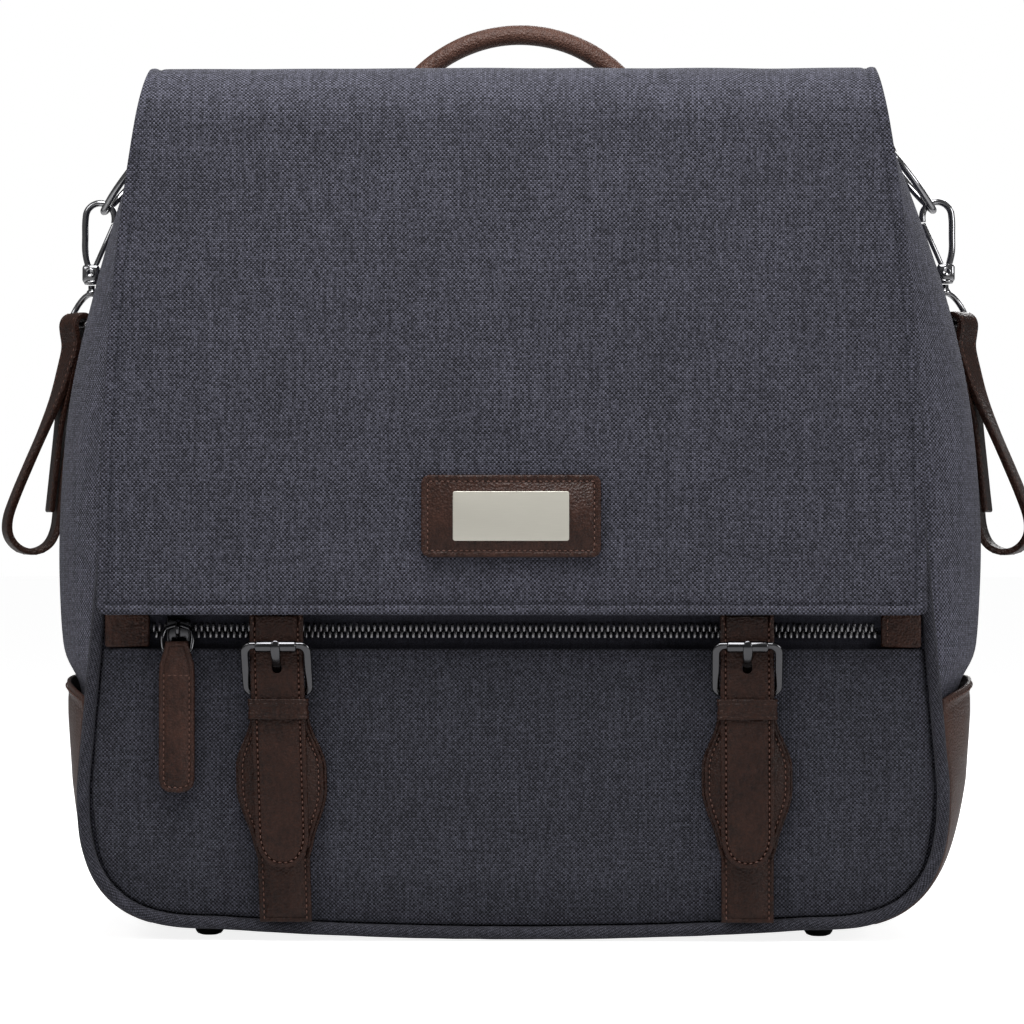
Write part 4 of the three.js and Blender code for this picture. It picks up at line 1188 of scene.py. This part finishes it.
def buildClip(side, k):
    c = clip
    tag = side.title()
    drop = Vector((c["foot"][0] - c["pin"][0], 0, c["foot"][1] - c["pin"][1]))
    long = drop.length
    drop.normalize()

    def onRing(a, b):
        p = Vector((c["pin"][0], c["y"] + a, c["pin"][1])) + drop * b
        return (k * p.x, p.y, p.z)

    # The ring, hook, gate and eye use the paler clip gunmetal, whose extra brightness is painted reflection.
    arc = [(12.2, -0.2), (14.4, 4), (14.3, 11), (12.2, 18.5), (7.4, 25)]
    arc += [(0, long)] + [(-a, b) for a, b in reversed(arc)]
    bm = wireMesh([onRing(a, b) for a, b in arc], 1.5, False, 16)
    rodMesh(bm, onRing(-12.6, 0), onRing(12.6, 0), 1.5, 16, 0.4)
    piece("sideRing" + tag, bm, "clipMetalPaintedReflection", "ring_" + side, ["side_ring_" + side])

    # The leather tab folds round the ring's bar and is sewn to the side under the mouth.
    px, pz = c["pin"]
    loop = [(151.4, 337.2), (154.0, 331), (154.6, 326), (154.7, 322.6), (156.6, 320.6), (159.4, 320.8),
            (161.4, 323), (161.2, 326.2), (158.6, 330.5), (154.6, 337.6)]

    def fold(a, j):
        x, z = loop[int(j)]
        return (k * x, c["y"] + a * 8.0, z)

    bm = sheetMesh(steps(-1, 1, 6), list(range(len(loop))), fold, lambda a, j, p: (p.y, p.z),
                   lambda p: (p.x - k * px, 0, p.z - pz))
    thicken(piece("ringTab" + tag, bm, "leather", "bag", ["ring_tab_" + side]), 1.1, 2)
    rows = [([(k * x, c["y"] + s * 6.4, z) for x, z in ((159.6, 328), (157.2, 333))], False) for s in (-1, 1)]
    stitches("ringTabStitch" + tag, rows, "tab", "bag")

    hx, hz, r = c["hookX"], c["hookZ"], c["hookR"]
    path = [(hx - r + 0.1, hz - 2.4)] + [(hx + r * math.cos(t), hz + r * math.sin(t))
                                         for t in steps(math.pi, 0, 8)]
    path += [(hx + r + 0.2, 290), (hx + r + 0.1, 283), (hx + r - 1.2, 277)]
    bm = wireMesh([(k * x, c["y"], z) for x, z in path], 1.4, False, 16)
    bx = c["baseX"]
    xa, xb = sorted((k * (bx - 3.6), k * (bx + 3.9)))
    blockMesh(bm, (xa, c["y"] - 2.5, 270.2), (xb, c["y"] + 2.5, 278), 1.3)
    rivet = [(0, -3.1), (0.9, -3.1), (1.3, -3.7), (1.8, -3.7), (2.0, -3.2),
             (2.0, 3.2), (1.8, 3.7), (1.3, 3.7), (0.9, 3.1), (0, 3.1)]
    lathe(bm, rivet, (k * (bx + 0.2), c["y"], 274.4), (0, 1, 0), 20)
    collar = [(0, 271.4), (3.2, 271.2), (3.4, 270.4), (3.0, 269.6), (0, 269.5)]
    lathe(bm, collar, (k * bx, c["y"], 0), (0, 0, 1), 24)
    piece("snapHook" + tag, bm, "clipMetalPaintedReflection", "hook_" + side, ["snap_hook_" + side])
    bm = bmesh.new()
    rodMesh(bm, (k * (bx - 1.4), c["y"], 277.0), (k * (hx - 5.9), c["y"], 295.2), 1.1, 14, 0.4)
    piece("hookGate" + tag, bm, "clipMetalPaintedReflection", "gate_" + side, ["hook_gate_" + side])

    # The eye and the hand loop hang in a plane turned a little about the swivel.
    def turn(z):
        t = math.radians(mix(c["turn"], c["eyeTurn"], smooth(200, 248, z)))
        place = Matrix.Translation((k * bx * mm, c["y"] * mm, 0))
        return place @ Matrix.Rotation(-t if k > 0 else math.pi + t, 4, "Z")

    p, z0 = c["barP"], c["barZ"]
    eye = [(0, 0, 265.6), (0.4, 3.6, 265), (1.4, 7, 262.8), (3.2, 9.1, 259), (p - 1.6, 9.5, 254.6),
           (p, 9.2, z0)]
    bm = wireMesh([(a, -b, z) for a, b, z in reversed(eye[1:])] + eye, 1.25, False, 16)
    rodMesh(bm, (p, -9.9, z0), (p, 9.9, z0), 1.25, 16, 0.4)
    stem = [(0, 264.4), (2.0, 264.8), (2.5, 265.8), (2.0, 266.9), (1.5, 267.3), (1.5, 269.1), (0, 269.1)]
    lathe(bm, stem, (0, 0, 0), (0, 0, 1), 20)
    bmesh.ops.transform(bm, matrix=turn(265), verts=bm.verts)
    piece("swivelEye" + tag, bm, "clipMetalPaintedReflection", "swivel_" + side, ["swivel_eye_" + side])
    buildLoop(side, turn)


loopPath = [
    (10.5, 248), (9.9, 242.5), (11.9, 234), (15.6, 221), (21, 207), (27.3, 192.5), (32.8, 179.5),
    (36.2, 169.5), (36.0, 162), (31.6, 156.6), (25, 155.2), (18.9, 158.2), (15.5, 165), (14.2, 175.5),
    (12.8, 190), (10.5, 206), (8.1, 224), (6.4, 236), (5.9, 243.0), (3.8, 247.8), (3.1, 252.3),
    (5.0, 255.7), (8.8, 255.8), (10.9, 252.6),
]


def smoothLine(points, closed, count):  # an evenly stepped smooth line through points in one plane
    n = len(points)
    fine = []
    for i in range(n if closed else n - 1):
        near = [(i + d) % n if closed else min(max(i + d, 0), n - 1) for d in (-1, 0, 1, 2)]
        p0, p1, p2, p3 = (Vector(points[j]) for j in near)
        second, third = 2 * p0 - 5 * p1 + 4 * p2 - p3, 3 * p1 - p0 - 3 * p2 + p3
        for t in steps(0, 1, 8)[:-1]:
            fine.append(0.5 * ((2 * p1) + (p2 - p0) * t + second * t * t + third * t ** 3))
    fine.append(fine[0].copy() if closed else Vector(points[-1]))
    dist = [0.0]
    for a, b in zip(fine, fine[1:]):
        dist.append(dist[-1] + (b - a).length)
    out = []
    k = 0
    for i in range(count + 1):
        goal = dist[-1] * i / count
        while k < len(fine) - 2 and dist[k + 1] < goal:
            k += 1
        out.append(fine[k].lerp(fine[k + 1], (goal - dist[k]) / max(1e-9, dist[k + 1] - dist[k])))
    return out, dist[-1]


def strapBand(points, closed, half, thick, count, name, nodes, turn):
    line, long = smoothLine(points, closed, count)
    columns = [-1, -0.93, -0.8, -0.72, -0.66, -0.5, 0, 0.5, 0.66, 0.72, 0.8, 0.93, 1]

    def place(a, j):
        i = int(j)
        p = line[i]
        after = line[(i + 1) % count if closed else min(i + 1, count)]
        before = line[(i - 1) % count if closed else max(i - 1, 0)]
        way = (after - before).normalized()
        away = Vector((way.y, -way.x))
        dip = 0.22 * math.exp(-((abs(a) - 0.72) / 0.05) ** 2)
        lift = thick / 2 - dip - 0.35 * smooth(0.85, 1, abs(a))
        return (p.x - away.x * lift, a * half, p.y - away.y * lift)

    bm = sheetMesh(columns, list(range(count + 1)), place,
                   lambda a, j, p: (a * half, j * long / count), closeSeam=closed)
    bm.normal_update()
    probe = min(bm.faces, key=lambda f: (f.calc_center_median() / mm - Vector(place(0, count // 3))).length)
    i = count // 3
    way = (line[i + 1] - line[i - 1]).normalized()
    if probe.normal.dot(Vector((-way.y, 0, way.x))) < 0:
        bmesh.ops.reverse_faces(bm, faces=bm.faces)
    for v in bm.verts:
        v.co = turn(v.co.z / mm) @ v.co
    obj = piece(name, bm, "leather", None, nodes)
    thicken(obj, thick, 2)
    rows = []
    for s in (-0.72, 0.72):
        row = []
        for j in range(0, count + 1, 2):
            at = Vector(place(s, j))
            row.append(tuple(turn(at.z) @ (at * mm) / mm))
        rows.append((row, False))
    thread = stitches(name + "Stitch", rows, "loop", None)
    for each in (obj, thread):  # the leather stays round its bar and bends below it
        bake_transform(each)


def buildLoop(side, turn):
    tag = side.title()
    strapBand(loopPath, True, 7.6, 2.6, 150, "handLoop" + tag, ["hand_loop_" + side], turn)
    tail = [(10.2, 240), (12.0, 226), (13.9, 212), (15.8, 195), (17.4, 180), (18.3, 172)]
    strapBand(tail, False, 7.4, 2.0, 40, "loopTail" + tag, (), turn)


buildHandle()
buildFeet()
for side, k in sides:
    buildClip(side, k)
print("hardware made")


# The mouth and what is inside.
def buildInside():
    node = frame["nodes"]["lining"]
    bm = bmesh.new()
    bm.from_mesh(node.data)
    bmesh.ops.remove_doubles(bm, verts=bm.verts, dist=1e-5)
    bmesh.ops.recalc_face_normals(bm, faces=bm.faces)
    bmesh.ops.subdivide_edges(bm, edges=bm.edges, cuts=1, use_grid_fill=True)
    layer = bm.loops.layers.uv.new("grain")
    for v in bm.verts:
        p = v.co / mm
        v.co += v.normal * mm * 0.25 * wave(p.x, p.y, p.z, 24, 41)
    for f in bm.faces:
        for loop in f.loops:
            p = loop.vert.co
            upright = (p.y, p.z) if abs(f.normal.x) > 0.5 else (p.x, p.y)
            loop[layer].uv = (p.x, p.z) if abs(f.normal.y) > 0.6 else upright
    piece("bagLining", bm, "lining", "bag", ["lining"])

    for name, y0, y1 in (("Front", -63.9, -46.2), ("Back", 76.8, 59.2)):
        path = [(y0, 338.8), (mix(y0, y1, 0.3), 339.6), (mix(y0, y1, 0.75), 339.7),
                (mix(y0, y1, 0.97), 338.4), (y1, 334), (y1, 328)]
        line, long = smoothLine(path, False, 18)

        def facing(a, j):
            p = line[int(j)]
            return (a * 144.2, p.x, p.y)

        bm = sheetMesh(steps(-1, 1, 60), list(range(len(line))), facing,
                       lambda a, j, p: (p.x, j * long / 18), lambda p: (0, 0, 1))
        strip = piece("mouthFacing" + name, bm, "cloth", "bag", ["mouth_facing_" + name.lower()])
        thicken(strip, 1.6, 1)
        step = 1 if y1 > y0 else -1
        bm = bmesh.new()
        x = -136.0
        while x < 136:
            toothMesh(bm, x, y1 + step * 0.9, 341.0, 1, (1, 0, 0), (0, 0, 1) if step < 0 else (0, 0, -1))
            x += 2.4
        for v in bm.verts:
            v.co.z = min(v.co.z, 0.3425)
        piece("mouthTeeth" + name, bm, "gunmetal", "bag")

    # The main zip runs on down each side.
    for side, k in sides:
        def surface(y, z):
            return panelHalf(z) + sideBulge(z, y) - 0.1 - sideFit[side][0] * smooth(345, 250, z)

        def strip(a, v):
            y, z = 8 + a * 6.5, mix(336.8, 226, v)
            return (k * (surface(y, z) + 0.2), y, z)

        bm = sheetMesh(steps(-1, 1, 6), steps(0, 1, 40), strip, lambda a, v, p: (p.y, p.z),
                       lambda p: (k, 0, 0))
        strip = piece("sideZipTape" + side.title(), bm, "tape", "bag")
        thicken(strip, 0.6, 0)
        bm = bmesh.new()
        z = 335.0
        while z > 229:
            toothMesh(bm, k * (surface(8, z) + 0.5), 8 - 0.1, z, 1, (0, 0, 1), (k, 0, 0))
            toothMesh(bm, k * (surface(8, z) + 0.5), 8 + 0.1, z - 1.2, -1, (0, 0, 1), (k, 0, 0))
            z -= 2.4
        piece("sideZipTeeth" + side.title(), bm, "gunmetal", "bag")
        rows = [([(k * (surface(8 + s * 8, z) + 0.2), 8 + s * 8, z) for z in steps(335, 224, 30)], False)
                for s in (-1, 1)]
        stitches("sideZipStitch" + side.title(), rows, "cloth", "bag")
    board = frame["nodes"]["base_board"]
    board.data.materials.clear()
    board.data.materials.append(finishes["board"])


buildInside()
print("inside made")
